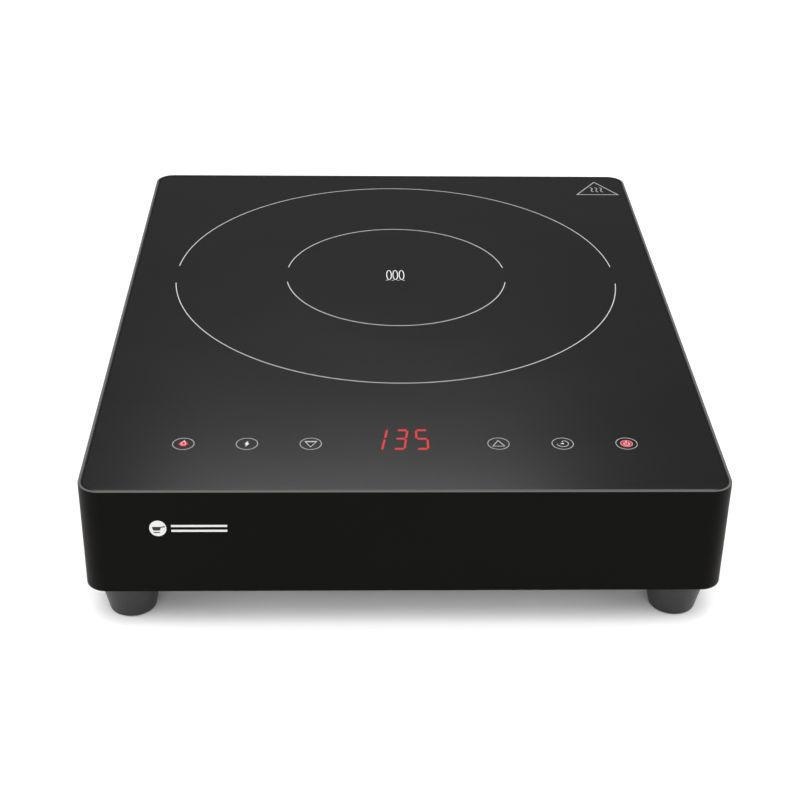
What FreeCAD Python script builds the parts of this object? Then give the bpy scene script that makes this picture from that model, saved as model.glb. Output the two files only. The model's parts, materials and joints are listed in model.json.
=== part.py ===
import FreeCAD, Part
import math
import os
import re

import Sketcher
from FreeCAD import Rotation, Vector

# Portable induction hob: a folded housing with a glass top, a base plate on four feet, a sprung
# coil carrier with a sprung temperature sensor, a cooling fan and the electronics.
# Millimetres. +Z is up and the keys are at the -Y edge. The origin is on the table, under the
# middle of the bounding box, so everything is set forward by half the reach of the cord gland.

DIMENSIONS = {
    # housing
    "body_width": 337,
    "body_depth": 416,
    "body_height": 62,
    "foot_height": 23,
    "corner_radius": 11.5,
    "wall": 1.5,
    "rim_round": 0.4,
    "ledge_width": 6.5,
    "ledge_thickness": 1.4,
    "exhaust_left": 62,
    "exhaust_pitch": 7.2,
    "exhaust_width": 3.4,
    "exhaust_height": 30,
    "exhaust_level": 15,
    "exhaust_count": 12,
    "badge_x": -112.5,
    "badge_level": 39.8,
    "badge_width": 44,
    "badge_height": 13,
    "badge_recess": 0.08,
    # glass
    "glass_thickness": 4,
    "glass_gap": 0.7,
    "glass_drop": 0.1,
    "glass_bevel": 0.5,
    "seal_bed": 0.5,
    "seal_drop": 0.5,
    # base plate and feet
    "base_thickness": 1.5,
    "base_gap": 0.25,
    "grille_radius": 37,
    "grille_slot": 4.2,
    "grille_pitch": 8,
    "vent_length": 46,
    "vent_width": 4,
    "vent_pitch": 9,
    "vent_count": 7,
    "vent_x": -60,
    "vent_y": -125,
    "foot_x": 146.5,
    "foot_y": 188,
    "foot_low_radius": 12.5,
    "foot_high_radius": 17.4,
    "foot_hole_radius": 2.2,
    "foot_socket_radius": 4.6,
    "foot_socket_height": 8,
    "pad_radius": 11.2,
    "pad_thickness": 2.5,
    "pad_show": 1,
    "collar_radius": 4.2,
    "collar_height": 4,
    "post_radius": 4,
    "post_inset": 8,
    "post_side_y": 140,
    # fasteners
    "large_screw_radius": 1.95,
    "large_hole_radius": 2.1,
    "large_head_radius": 3.6,
    "large_head_height": 1.6,
    "small_screw_radius": 1.45,
    "small_hole_radius": 1.6,
    "small_head_radius": 2.7,
    "small_head_height": 1.5,
    "recess_width": 0.8,
    # cord gland
    "gland_x": -120,
    "gland_level": 29,
    "gland_reach": 14,
    "gland_bore": 6,
    "gland_thread": 8,
    "gland_flange": 10.5,
    "gland_flange_height": 3.5,
    "gland_neck": 9,
    "gland_inside": 10,
    "gland_nut_width": 11,
    "gland_nut_height": 4,
    "cord_radius": 4.5,
    # terminal block and earth stud
    "terminal_y": 176,
    "terminal_width": 36,
    "terminal_depth": 18,
    "terminal_height": 22,
    "terminal_pitch": 11,
    "terminal_screw_radius": 2.4,
    "terminal_screw_depth": 5,
    "terminal_wire_radius": 1.7,
    "terminal_wire_level": 15.5,
    "stud_spacer_radius": 3.6,
    "stud_spacer_height": 13.5,
    "stud_ring_radius": 5,
    "stud_ring_thickness": 3,
    "stud_nut_radius": 3.8,
    "stud_nut_height": 2,
    "stud_bolt_radius": 2,
    "stud_bolt_height": 21,
    # coil stack
    "coil_y": 44,
    "coil_gap": 0.2,
    "mica_radius": 100,
    "mica_hole": 17,
    "mica_thickness": 0.8,
    "carrier_radius": 104,
    "carrier_rim": 3,
    "carrier_rim_height": 3.8,
    "carrier_plate": 3.6,
    "lug_offset": 79,
    "lug_radius": 11,
    "lug_hole_radius": 2.8,
    "hub_radius": 16,
    "hub_wall": 2,
    "hub_depth": 10,
    "hub_floor": 1.5,
    "guide_radius": 4,
    "winding_start": 20,
    "winding_pitch": 3.9,
    "winding_half_turns": 39,
    "litz_radius": 1.8,
    "litz_hole_radius": 2.2,
    "ferrite_start": 28,
    "ferrite_length": 60,
    "ferrite_width": 12,
    "ferrite_thickness": 5,
    "ferrite_count": 8,
    "pillar_radius": 4.5,
    "pin_radius": 2.5,
    "pin_height": 15.8,
    "spring_clearance": 0.04,
    "coil_spring_length": 10,
    "coil_spring_radius": 3.6,
    "coil_spring_wire": 0.4,
    "coil_spring_pitch": 2,
    # temperature sensor
    "stem_radius": 3.7,
    "stem_drop": 1.5,
    "sensor_head_radius": 9,
    "sensor_head_height": 2,
    "bead_radius": 5,
    "bead_height": 1.8,
    "sensor_spring_radius": 6,
    "sensor_spring_wire": 0.35,
    "sensor_spring_pitch": 1.8,
    # fan
    "fan_x": 125.5,
    "fan_y": -30,
    "fan_size": 80,
    "fan_height": 25,
    "fan_bore": 38,
    "fan_hole_offset": 35.75,
    "fan_corner": 4,
    "fan_mount_radius": 16,
    "fan_mount_height": 3,
    "fan_strut_width": 4,
    "hub_cup_radius": 17.5,
    "hub_cup_wall": 1.5,
    "hub_cup_height": 19,
    "hub_cup_gap": 1,
    "blade_root": 16.6,
    "blade_tip": 36.6,
    "blade_root_chord": 16,
    "blade_tip_chord": 21,
    "blade_thickness": 1.5,
    "blade_count": 7,
    "blade_level": 10,
    "shaft_radius": 1.5,
    "shaft_clearance": 0.05,
    "bearing_radius": 4,
    "stator_radius": 14.5,
    "stator_height": 11,
    # power board
    "board_y": 90.5,
    "board_width": 300,
    "board_depth": 145,
    "board_thickness": 1.6,
    "standoff_height": 8.5,
    "standoff_radius": 3.5,
    "pillar_clearance": 1.2,
    "sink_x": 92,
    "sink_y": 96,
    "sink_length": 124,
    "sink_width": 46,
    "sink_height": 23.4,
    "sink_base": 4,
    "fin_thickness": 1.6,
    "fin_pitch": 7.4,
    "fin_count": 5,
    "device_thickness": 5,
    "device_width": 16,
    "device_height": 18,
    "device_level": 3,
    "device_hole_level": 16,
    "leg_thickness": 0.8,
    "leg_width": 1.3,
    "bridge_width": 28,
    "film_length": 42,
    "film_width": 20,
    "film_height": 22,
    "link_width": 18,
    "link_height": 20,
    "filter_length": 26,
    "filter_width": 10,
    "filter_height": 17,
    "choke_lift": 5.4,
    "choke_radius": 11,
    "choke_section_radius": 3.5,
    "choke_loop_radius": 4.4,
    "choke_wire_radius": 0.7,
    # air duct
    "duct_level": 34.5,
    "duct_sheet": 1.2,
    "duct_left": 84.2,
    "duct_fan_right": 166.2,
    "duct_sink_right": 154.5,
    "duct_front": -72,
    "duct_step": 14,
    "duct_back": 204,
    # controls
    "control_y": -161,
    "control_width": 280,
    "control_depth": 48,
    "control_level": 45.5,
    "bracket_rise": 4,
    "bracket_sheet": 1.2,
    "bracket_width": 286,
    "boss_radius": 3.2,
    "touch_spring_radius": 4.5,
    "touch_spring_wire": 0.3,
    "touch_spring_pitch": 2.1,
    "display_width": 36,
    "display_depth": 24,
    "display_height": 8,
    # leads
    "lead_radius": 1.5,
    "fan_lead_radius": 1,
    "ribbon_width": 14,
    "ribbon_thickness": 0.8,
}

# levels above the table, as expressions of the dimensions
RIM_TOP = "(foot_height + body_height)"
GLASS_TOP = f"({RIM_TOP} - glass_drop)"
GLASS_BOTTOM = f"({GLASS_TOP} - glass_thickness)"
LEDGE_TOP = f"({GLASS_BOTTOM} - seal_bed)"
BASE_TOP = "(foot_height + base_thickness)"
BOARD_TOP = f"({BASE_TOP} + standoff_height + board_thickness)"
COIL_FLOOR = f"({GLASS_BOTTOM} - coil_gap - mica_thickness - carrier_rim_height)"
SHOULDER = f"({COIL_FLOOR} - carrier_plate - coil_spring_length)"
CONTROL_BOTTOM = f"({BASE_TOP} + control_level)"
CONTROL_TOP = f"({CONTROL_BOTTOM} + board_thickness)"
WINDING_END = "(winding_start + (winding_half_turns - 1)*winding_pitch/2)"

KEY_X = (-119, -84.8, -50.4, 50.4, 84.8, 119)
FOOT_SIGNS = {
    "foot_front_left": (-1, -1),
    "foot_front_right": (1, -1),
    "foot_rear_left": (-1, 1),
    "foot_rear_right": (1, 1),
}
CORNER_SIGNS = tuple(FOOT_SIGNS.values())
POST_SPOTS = (
    ("body_width/2 - post_inset", "post_side_y"),
    ("body_width/2 - post_inset", "-post_side_y"),
    ("-body_width/2 + post_inset", "post_side_y"),
    ("-body_width/2 + post_inset", "-post_side_y"),
    ("0", "body_depth/2 - post_inset"),
    ("0", "-body_depth/2 + post_inset"),
)
BOARD_SPOTS = ((-145, 24), (-145, 157), (145, 24), (145, 157), (-50, 24), (40, 157))
CONTROL_SPOTS = ((-134, -180), (-134, -142), (134, -180), (134, -142))
INPUT_TABS = ((-125, 127), (-108, 127))
COIL_POSTS = ((-90, 49), (15.5, 50))
FAN_SOCKET = (68, 29)
RIBBON_SOCKET = (0, 31)
EARTH_STUD = (-86, 181)
TRANSISTOR_Y = (56, 98)
BRIDGE_Y = 146
# radius, height, x and y of each round capacitor
CANS = {
    "can_wide": ("8", "21", "-36", "140"),
    "can_mid": ("6", "18", "-54", "146"),
    "can_slim": ("4", "12", "-38", "120"),
}
CASE_ROUND = 0.8

doc = FreeCAD.newDocument("induction_hob")
sheet = doc.addObject("Spreadsheet::Sheet", "Dim")
for row, (alias, value) in enumerate(DIMENSIONS.items(), start=1):
    sheet.set(f"A{row}", alias)
    sheet.set(f"B{row}", str(value))
    sheet.setAlias(f"B{row}", alias)
doc.recompute()

sub_parts = []


# ------------------------------------------------------------------ shared helpers
def bound(text):
    """The expression with each word read from the sheet."""
    return re.sub(r"[a-z][a-z_]*", lambda word: "Dim." + word.group(), str(text))


def size(alias):
    """One dimension as a number, for shapes that are set in code."""
    return float(sheet.get(alias))


def put(item, x="0", y="0", z="0", rotation=None):
    if rotation is not None:
        item.Placement.Rotation = rotation
    for axis, text in zip("xyz", (x, y, z)):
        item.setExpression(f"Placement.Base.{axis}", bound(text))


def finish(item, label, x="0", y="0", z="0"):
    """Names a sub-part and places it from the middle of the housing, at a height over the table."""
    item.Label = label
    put(item, x, f"{y} - gland_reach/2", z)
    sub_parts.append(item)


def new_body(label):
    body = doc.addObject("PartDesign::Body", label)
    body.AllowCompound = True
    return body


def sketch_on(body, name, role, level="0", turn=0):
    """A sketch on one of the body's origin planes, moved along the plane's normal."""
    sketch = body.newObject("Sketcher::SketchObject", name)
    plane = next(item for item in body.Origin.OriginFeatures if item.Role == role)
    sketch.AttachmentSupport = [(plane, "")]
    sketch.MapMode = "FlatFace"
    if turn:
        sketch.AttachmentOffset.Rotation = Rotation(Vector(0, 0, 1), turn)
    sketch.setExpression("AttachmentOffset.Base.z", bound(level))
    return sketch


def bind(sketch, constraint, expression):
    index = sketch.addConstraint(constraint)
    name = f"size_{index}"
    sketch.renameConstraint(index, name)
    sketch.setExpression(f"Constraints.{name}", bound(expression))


def fix_point(sketch, geometry, point, spot):
    """Holds a point at a distance from the sketch's origin."""
    for kind, expression in zip(("DistanceX", "DistanceY"), spot):
        bind(sketch, Sketcher.Constraint(kind, -1, 1, geometry, point, 1.0), expression)


def polygon(sketch, corners):
    count = len(corners)
    turn = 2 * math.pi / count
    ring = [Vector(10 * math.cos(i * turn), 10 * math.sin(i * turn), 0) for i in range(count)]
    first = sketch.GeometryCount
    for i in range(count):
        sketch.addGeometry(Part.LineSegment(ring[i], ring[(i + 1) % count]), False)
    for i in range(count):
        following = first + (i + 1) % count
        sketch.addConstraint(Sketcher.Constraint("Coincident", first + i, 2, following, 1))
    for i, spot in enumerate(corners):
        fix_point(sketch, first + i, 1, spot)


def rectangle(sketch, width, depth, x="0", y="0"):
    left, right = f"{x} - ({width})/2", f"{x} + ({width})/2"
    front, back = f"{y} - ({depth})/2", f"{y} + ({depth})/2"
    polygon(sketch, [(left, front), (right, front), (right, back), (left, back)])


def circle(sketch, radius, x="0", y="0"):
    index = sketch.addGeometry(Part.Circle(Vector(0, 0, 0), Vector(0, 0, 1), 5), False)
    bind(sketch, Sketcher.Constraint("Radius", index, 5), radius)
    fix_point(sketch, index, 3, (x, y))


def rounded_rectangle(sketch, width, depth, radius):
    """A rectangle about the origin with an arc at each corner."""
    reach, bend = 20, 5
    flat = reach - bend
    first = sketch.GeometryCount
    for i in range(4):
        turned = Rotation(Vector(0, 0, 1), 90 * i)
        start = turned.multVec(Vector(-flat, -reach, 0))
        end = turned.multVec(Vector(flat, -reach, 0))
        centre = turned.multVec(Vector(flat, -flat, 0))
        sketch.addGeometry(Part.LineSegment(start, end), False)
        arc_from = math.radians(90 * i - 90)
        ring = Part.Circle(centre, Vector(0, 0, 1), bend)
        sketch.addGeometry(Part.ArcOfCircle(ring, arc_from, arc_from + math.pi / 2), False)
    for i in range(4):
        line, arc = first + 2 * i, first + 2 * i + 1
        following = first + (2 * i + 2) % 8
        sketch.addConstraint(Sketcher.Constraint("Tangent", line, 2, arc, 1))
        sketch.addConstraint(Sketcher.Constraint("Tangent", arc, 2, following, 1))
        sketch.addConstraint(Sketcher.Constraint(("Horizontal", "Vertical")[i % 2], line))
        bind(sketch, Sketcher.Constraint("Radius", arc, bend), radius)
    sides = (("DistanceY", f"-({depth})/2"), ("DistanceX", f"({width})/2"),
             ("DistanceY", f"({depth})/2"), ("DistanceX", f"-({width})/2"))
    for i, (kind, expression) in enumerate(sides):
        bind(sketch, Sketcher.Constraint(kind, -1, 1, first + 2 * i, 1, reach), expression)


def pad(body, sketch, length, reverse=False):
    feature = body.newObject("PartDesign::Pad", f"{sketch.Name}_pad")
    feature.Profile = sketch
    feature.Reversed = reverse
    feature.setExpression("Length", bound(length))
    return feature


def pocket(body, sketch, length, reverse=False):
    """Cuts the sketch against its normal, or along it when reversed, and tests that it cuts."""
    doc.recompute()
    before = body.Shape.Volume
    feature = body.newObject("PartDesign::Pocket", f"{sketch.Name}_cut")
    feature.Profile = sketch
    feature.Reversed = reverse
    feature.setExpression("Length", bound(length))
    doc.recompute()
    if body.Shape.Volume > before - 0.01:
        raise ValueError(f"{feature.Name} removes nothing")
    return feature


def revolve(body, sketch):
    feature = body.newObject("PartDesign::Revolution", f"{sketch.Name}_turned")
    feature.Profile = sketch
    feature.ReferenceAxis = (sketch, ["V_Axis"])
    feature.Angle = 360
    return feature


def pattern(body, kind, feature, sketch, axis, count, span):
    """Repeats a feature along or round a sketch axis."""
    doc.recompute()
    repeat = body.newObject(f"PartDesign::{kind}", f"{feature.Name}_row")
    repeat.Originals = [feature]
    if kind == "PolarPattern":
        repeat.Axis = (sketch, [axis])
        repeat.Angle = span
    else:
        repeat.Direction = (sketch, [axis])
        repeat.setExpression("Length", bound(span))
    repeat.setExpression("Occurrences", bound(count))
    body.Tip = repeat
    doc.recompute()
    return repeat


def dress_edges(body, kind, value, wanted):
    """A fillet or chamfer on the edges that pass the test."""
    doc.recompute()
    base = body.Tip
    names = [f"Edge{i}" for i, edge in enumerate(base.Shape.Edges, start=1) if wanted(edge)]
    feature = body.newObject(f"PartDesign::{kind}", f"{body.Name}_{kind.lower()}")
    feature.Base = (base, names)
    feature.setExpression("Radius" if kind == "Fillet" else "Size", bound(value))
    return feature


def block(name, length, width, height, x="0", y="0", z="0"):
    """A box centred on x and y that stands on z."""
    item = doc.addObject("Part::Box", name)
    for side, text in (("Length", length), ("Width", width), ("Height", height)):
        item.setExpression(side, bound(text))
    put(item, f"{x} - ({length})/2", f"{y} - ({width})/2", z)
    return item


def rod(name, radius, height, x="0", y="0", z="0", direction=Vector(0, 0, 1)):
    item = doc.addObject("Part::Cylinder", name)
    item.setExpression("Radius", bound(radius))
    item.setExpression("Height", bound(height))
    put(item, x, y, z, Rotation(Vector(0, 0, 1), direction))
    return item


def join(name, pieces):
    item = doc.addObject("Part::MultiFuse", name)
    item.Shapes = pieces
    return item


def cut(name, base, tool):
    item = doc.addObject("Part::Cut", name)
    item.Base = base
    item.Tool = tool
    return item


def group(name, pieces):
    item = doc.addObject("Part::Compound", name)
    item.Links = pieces
    return item


def soft_block(name, length, width, height, x, y, z, radius):
    """A box with all twelve edges rounded."""
    item = doc.addObject("Part::Fillet", name)
    item.Base = block(f"{name}_blank", length, width, height, x, y, z)
    item.Edges = [(edge, radius, radius) for edge in range(1, 13)]
    return item


def pan_screw(name, prefix, length, x, y, z, direction):
    """A pan-head screw with a cross recess; z is where the head bears, the shank runs along direction."""
    back = direction * -1
    shank = rod(f"{name}_shank", f"{prefix}screw_radius", length, x, y, z, direction)
    head = rod(f"{name}_head", f"{prefix}head_radius", f"{prefix}head_height", x, y, z, back)
    whole = join(f"{name}_blank", [shank, head])
    arms = []
    for arm, turn in enumerate((0, 90)):
        piece = doc.addObject("Part::Box", f"{name}_arm{arm}")
        piece.setExpression("Length", bound("2*recess_width"))
        piece.setExpression("Width", bound("recess_width"))
        piece.setExpression("Height", bound(f"{prefix}head_height"))
        facing = Rotation(Vector(0, 0, 1), back) * Rotation(Vector(0, 0, 1), turn)
        reach = facing.multVec(Vector(-1, -0.5, 0))
        lift = facing.multVec(Vector(0, 0, 0.5))
        spot = [f"{base} + ({side:.6f})*recess_width + ({rise:.6f})*{prefix}head_height"
                for base, side, rise in zip((x, y, z), reach, lift)]
        put(piece, *spot, facing)
        arms.append(piece)
    return cut(name, whole, join(f"{name}_cross", arms))


def helix_spring(name, coil_radius, wire_radius, pitch, span, x="0", y="0", z="0"):
    """A wire spring whose wire stays inside the span above z."""
    end = f"({wire_radius} + spring_clearance)"
    helix = doc.addObject("Part::Helix", f"{name}_path")
    helix.SegmentLength = 1
    helix.setExpression("Pitch", bound(pitch))
    helix.setExpression("Height", bound(f"{span} - 2*{end}"))
    helix.setExpression("Radius", bound(coil_radius))
    doc.recompute([helix])
    section = doc.addObject("Part::Circle", f"{name}_section")
    section.setExpression("Radius", bound(wire_radius))
    put(section, coil_radius, rotation=Rotation(Vector(1, 0, 0), 90))
    item = doc.addObject("Part::Sweep", name)
    item.Sections = [section]
    item.Spine = (helix, [f"Edge{i}" for i in range(1, len(helix.Shape.Edges) + 1)])
    item.Solid = True
    item.Frenet = True
    put(item, x, y, f"{z} + {end}")
    return item


def rounded_path(label, route):
    """Straight runs joined by tangent arcs, each as large as its two runs allow."""
    points = [Vector(*spot) for spot in route]
    edges = []
    radii = []
    start = points[0]
    for before, corner, after in zip(points, points[1:], points[2:]):
        towards = (before - corner).normalize()
        away = (after - corner).normalize()
        turn = math.pi - towards.getAngle(away)
        reach = 0.45 * min((before - corner).Length, (after - corner).Length)
        radius = reach / math.tan(turn / 2)
        radii.append(radius)
        entry = corner + towards * reach
        leaving = corner + away * reach
        inward = (towards + away).normalize()
        middle = corner + inward * (radius / math.cos(turn / 2) - radius)
        edges.append(Part.LineSegment(start, entry).toShape())
        edges.append(Part.Arc(entry, middle, leaving).toShape())
        start = leaving
    edges.append(Part.LineSegment(start, points[-1]).toShape())
    print(label, "bend radii:", ", ".join(f"{radius:.1f}" for radius in radii))
    return Part.Wire(edges)


def swept(label, path, section):
    """A solid that carries a closed section along a path, tested by its volume."""
    shape = path.makePipeShell([section], True, False)
    expected = Part.Face(section).Area * path.Length
    if abs(shape.Volume / expected - 1) > 0.01:
        raise ValueError(f"{label} has volume {shape.Volume:.1f}, not {expected:.1f}")
    return shape


def round_section(radius, start, direction):
    return Part.Wire(Part.makeCircle(radius, start, direction))


def lead_shape(label, radius, route):
    path = rounded_path(label, route)
    start = Vector(*route[0])
    return swept(label, path, round_section(radius, start, Vector(*route[1]) - start))


def feature_of(label, shape):
    """A sub-part whose shape is set in code."""
    item = doc.addObject("Part::Feature", label)
    item.Shape = shape
    return item


# ------------------------------------------------------------------ outer body
def make_housing():
    body = new_body("housing")
    outline = sketch_on(body, "housing_outline", "XY_Plane")
    rounded_rectangle(outline, "body_width", "body_depth", "corner_radius")
    pad(body, outline, "body_height")

    inner = ("body_width - 2*wall", "body_depth - 2*wall", "corner_radius - wall")
    recess = sketch_on(body, "glass_recess", "XY_Plane", "body_height")
    rounded_rectangle(recess, *inner)
    pocket(body, recess, f"{RIM_TOP} - {LEDGE_TOP}")

    inset = "2*(wall + ledge_width)"
    opening = sketch_on(body, "top_opening", "XY_Plane", "body_height")
    rounded_rectangle(opening, f"body_width - {inset}", f"body_depth - {inset}", "corner_radius/2")
    pocket(body, opening, "body_height/2")

    cavity = sketch_on(body, "cavity", "XY_Plane")
    rounded_rectangle(cavity, *inner)
    pocket(body, cavity, f"{LEDGE_TOP} - ledge_thickness - foot_height", reverse=True)

    # the sketch's normal points to the front, so the rear wall is at a negative level
    gland = sketch_on(body, "gland_hole", "XZ_Plane", "-body_depth/2")
    circle(gland, "gland_thread + 0.1", "gland_x", "gland_level")
    pocket(body, gland, "2*wall", reverse=True)

    slot = sketch_on(body, "exhaust_slot", "XZ_Plane", "-body_depth/2")
    slot_z = "exhaust_level + exhaust_height/2"
    rectangle(slot, "exhaust_width", "exhaust_height", "exhaust_left", slot_z)
    first_slot = pocket(body, slot, "2*wall", reverse=True)
    pattern(body, "LinearPattern", first_slot, slot, "H_Axis", "exhaust_count",
            "(exhaust_count - 1)*exhaust_pitch")

    top = size("body_height")
    half_width = size("body_width") / 2 - size("wall") / 2
    half_depth = size("body_depth") / 2 - size("wall") / 2
    bend = size("corner_radius")

    def on_outer_rim(edge):
        box = edge.BoundBox
        if box.ZMin < top - 0.01:
            return False
        if edge.Curve.TypeId == "Part::GeomCircle":
            return abs(edge.Curve.Radius - bend) < 0.01
        middle = box.Center
        return abs(middle.x) > half_width or abs(middle.y) > half_depth

    dress_edges(body, "Fillet", "rim_round", on_outer_rim)

    badge = sketch_on(body, "badge_outline", "XZ_Plane", "body_depth/2")
    rectangle(badge, "badge_width", "badge_height", "badge_x", "badge_level")
    pocket(body, badge, "badge_recess")
    finish(body, "housing", z="foot_height")


def make_glass():
    body = new_body("glass_top")
    outline = sketch_on(body, "glass_outline", "XY_Plane")
    inset = "2*(wall + glass_gap)"
    rounded_rectangle(outline, f"body_width - {inset}", f"body_depth - {inset}",
                      "corner_radius - wall - glass_gap")
    pad(body, outline, "glass_thickness")
    top = size("glass_thickness")
    dress_edges(body, "Chamfer", "glass_bevel", lambda edge: edge.BoundBox.ZMin > top - 0.01)
    finish(body, "glass_top", z=GLASS_BOTTOM)


def make_glass_seal():
    """A silicone bead: a flat bed on the ledge and a thin upright joint round the glass."""
    body = new_body("glass_seal")
    bed = sketch_on(body, "seal_bed_outline", "XY_Plane")
    inner = ("body_width - 2*wall", "body_depth - 2*wall", "corner_radius - wall")
    rounded_rectangle(bed, *inner)
    inset = "2*(wall + ledge_width)"
    rounded_rectangle(bed, f"body_width - {inset}", f"body_depth - {inset}", "corner_radius/2")
    pad(body, bed, "seal_bed")
    joint = sketch_on(body, "seal_joint_outline", "XY_Plane", "seal_bed")
    rounded_rectangle(joint, *inner)
    inset = "2*(wall + glass_gap)"
    rounded_rectangle(joint, f"body_width - {inset}", f"body_depth - {inset}",
                      "corner_radius - wall - glass_gap")
    pad(body, joint, "glass_thickness - glass_bevel - seal_drop")
    finish(body, "glass_seal", z=LEDGE_TOP)


def make_base_plate():
    """The floor of the hob, with an intake grille under the fan and thread collars at the feet."""
    body = new_body("base_plate")
    outline = sketch_on(body, "base_outline", "XY_Plane")
    inset = "2*(wall + base_gap)"
    rounded_rectangle(outline, f"body_width - {inset}", f"body_depth - {inset}",
                      "corner_radius - wall - base_gap")
    pad(body, outline, "base_thickness")

    collars = sketch_on(body, "foot_collars", "XY_Plane", "base_thickness")
    for sign_x, sign_y in CORNER_SIGNS:
        circle(collars, "collar_radius", f"{sign_x}*foot_x", f"{sign_y}*foot_y")
    pad(body, collars, "collar_height")

    holes = sketch_on(body, "base_holes", "XY_Plane", "base_thickness + collar_height")
    for sign_x, sign_y in CORNER_SIGNS:
        circle(holes, "large_hole_radius", f"{sign_x}*foot_x", f"{sign_y}*foot_y")
        circle(holes, "large_hole_radius", f"fan_x + {sign_x}*fan_hole_offset",
               f"fan_y + {sign_y}*fan_hole_offset")
    for x, y in POST_SPOTS:
        circle(holes, "large_hole_radius", x, y)
    pocket(body, holes, "2*(base_thickness + collar_height)")

    grille = sketch_on(body, "intake_grille", "XY_Plane", "base_thickness")
    for row in range(-4, 5):
        half_chord = math.sqrt(1 - (row / 4.7) ** 2)
        rectangle(grille, "grille_slot", f"{2 * half_chord:.5f}*grille_radius",
                  f"fan_x + ({row})*grille_pitch", "fan_y")
    pocket(body, grille, "2*base_thickness")

    vent = sketch_on(body, "front_vent", "XY_Plane", "base_thickness")
    rectangle(vent, "vent_width", "vent_length", "vent_x", "vent_y")
    first_vent = pocket(body, vent, "2*base_thickness")
    pattern(body, "LinearPattern", first_vent, vent, "H_Axis", "vent_count",
            "(vent_count - 1)*vent_pitch")
    finish(body, "base_plate", z="foot_height")


def make_foot(label, sign_x, sign_y):
    """A tapered foot with a socket for its screw and a recess for its pad."""
    body = new_body(label)
    profile = sketch_on(body, f"{label}_profile", "XZ_Plane")
    polygon(profile, [
        ("pad_radius + 0.1", "pad_show"),
        ("foot_low_radius", "pad_show"),
        ("foot_high_radius", "foot_height"),
        ("foot_hole_radius", "foot_height"),
        ("foot_hole_radius", "foot_socket_height"),
        ("foot_socket_radius", "foot_socket_height"),
        ("foot_socket_radius", "pad_thickness"),
        ("pad_radius + 0.1", "pad_thickness"),
    ])
    revolve(body, profile)
    finish(body, label, f"{sign_x}*foot_x", f"{sign_y}*foot_y")


def make_foot_pads():
    pads = [rod(f"pad_{i}", "pad_radius", "pad_thickness", f"{sign_x}*foot_x", f"{sign_y}*foot_y")
            for i, (sign_x, sign_y) in enumerate(CORNER_SIGNS)]
    finish(group("pads", pads), "foot_pads")


def make_foot_screws():
    length = f"{BASE_TOP} + collar_height - foot_socket_height"
    screws = [pan_screw(f"foot_screw_{i}", "large_", length, f"{sign_x}*foot_x", f"{sign_y}*foot_y",
                        "foot_socket_height", Vector(0, 0, 1))
              for i, (sign_x, sign_y) in enumerate(CORNER_SIGNS)]
    finish(group("screws_of_feet", screws), "foot_screws")


def make_frame_posts():
    """Spacers welded under the ledge; the base plate is screwed to them."""
    posts = []
    height = f"{LEDGE_TOP} - ledge_thickness - {BASE_TOP}"
    for i, (x, y) in enumerate(POST_SPOTS):
        solid = rod(f"post_{i}_solid", "post_radius", height, x, y)
        hole = rod(f"post_{i}_hole", "large_hole_radius", "14", x, y)
        posts.append(cut(f"post_{i}", solid, hole))
    finish(group("posts", posts), "frame_posts", z=BASE_TOP)


def make_base_screws():
    """The screws under the base plate, into the posts."""
    screws = [pan_screw(f"base_screw_{i}", "large_", "base_thickness + 12", x, y, "0", Vector(0, 0, 1))
              for i, (x, y) in enumerate(POST_SPOTS)]
    finish(group("screws_of_base", screws), "base_screws", z="foot_height")


# ------------------------------------------------------------------ mains inlet
def make_gland():
    """The cord gland in the rear wall; its own frame has its origin on the wall's outer face."""
    body = new_body("gland_body")
    profile = sketch_on(body, "gland_profile", "XY_Plane")
    polygon(profile, [
        ("gland_bore", "-gland_inside"),
        ("gland_thread", "-gland_inside"),
        ("gland_thread", "0"),
        ("gland_flange", "0"),
        ("gland_flange", "gland_flange_height"),
        ("gland_thread - 0.4", "gland_flange_height"),
        ("gland_thread - 0.4", "gland_neck"),
        ("gland_bore", "gland_neck"),
    ])
    revolve(body, profile)
    place = ("gland_x", "body_depth/2", "foot_height + gland_level")
    finish(body, "gland_body", *place)

    dome = new_body("gland_dome")
    profile = sketch_on(dome, "dome_profile", "XY_Plane")
    polygon(profile, [
        ("gland_thread - 0.3", "gland_flange_height + 0.2"),
        ("gland_flange - 0.6", "gland_flange_height + 0.2"),
        ("gland_flange - 0.6", "gland_neck"),
        ("gland_thread - 0.8", "gland_reach"),
        ("cord_radius + 0.7", "gland_reach"),
        ("cord_radius + 0.7", "gland_neck + 1.5"),
        ("gland_thread - 0.3", "gland_neck + 0.5"),
    ])
    revolve(dome, profile)
    finish(dome, "gland_dome", *place)

    seal = new_body("gland_seal")
    profile = sketch_on(seal, "gland_seal_profile", "XY_Plane")
    polygon(profile, [
        ("cord_radius", "-gland_inside/2"),
        ("gland_bore - 0.05", "-gland_inside/2"),
        ("gland_bore - 0.05", "gland_neck"),
        ("cord_radius", "gland_neck"),
    ])
    revolve(seal, profile)
    finish(seal, "gland_seal", *place)

    nut = new_body("gland_nut")
    hexagon = sketch_on(nut, "nut_outline", "XZ_Plane", "wall")
    corners = [(math.cos(math.radians(60 * i)), math.sin(math.radians(60 * i))) for i in range(6)]
    polygon(hexagon, [(f"({x:.6f})*gland_nut_width", f"({y:.6f})*gland_nut_width")
                      for x, y in corners])
    circle(hexagon, "gland_thread + 0.05")
    pad(nut, hexagon, "gland_nut_height")
    finish(nut, "gland_nut", *place)


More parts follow.
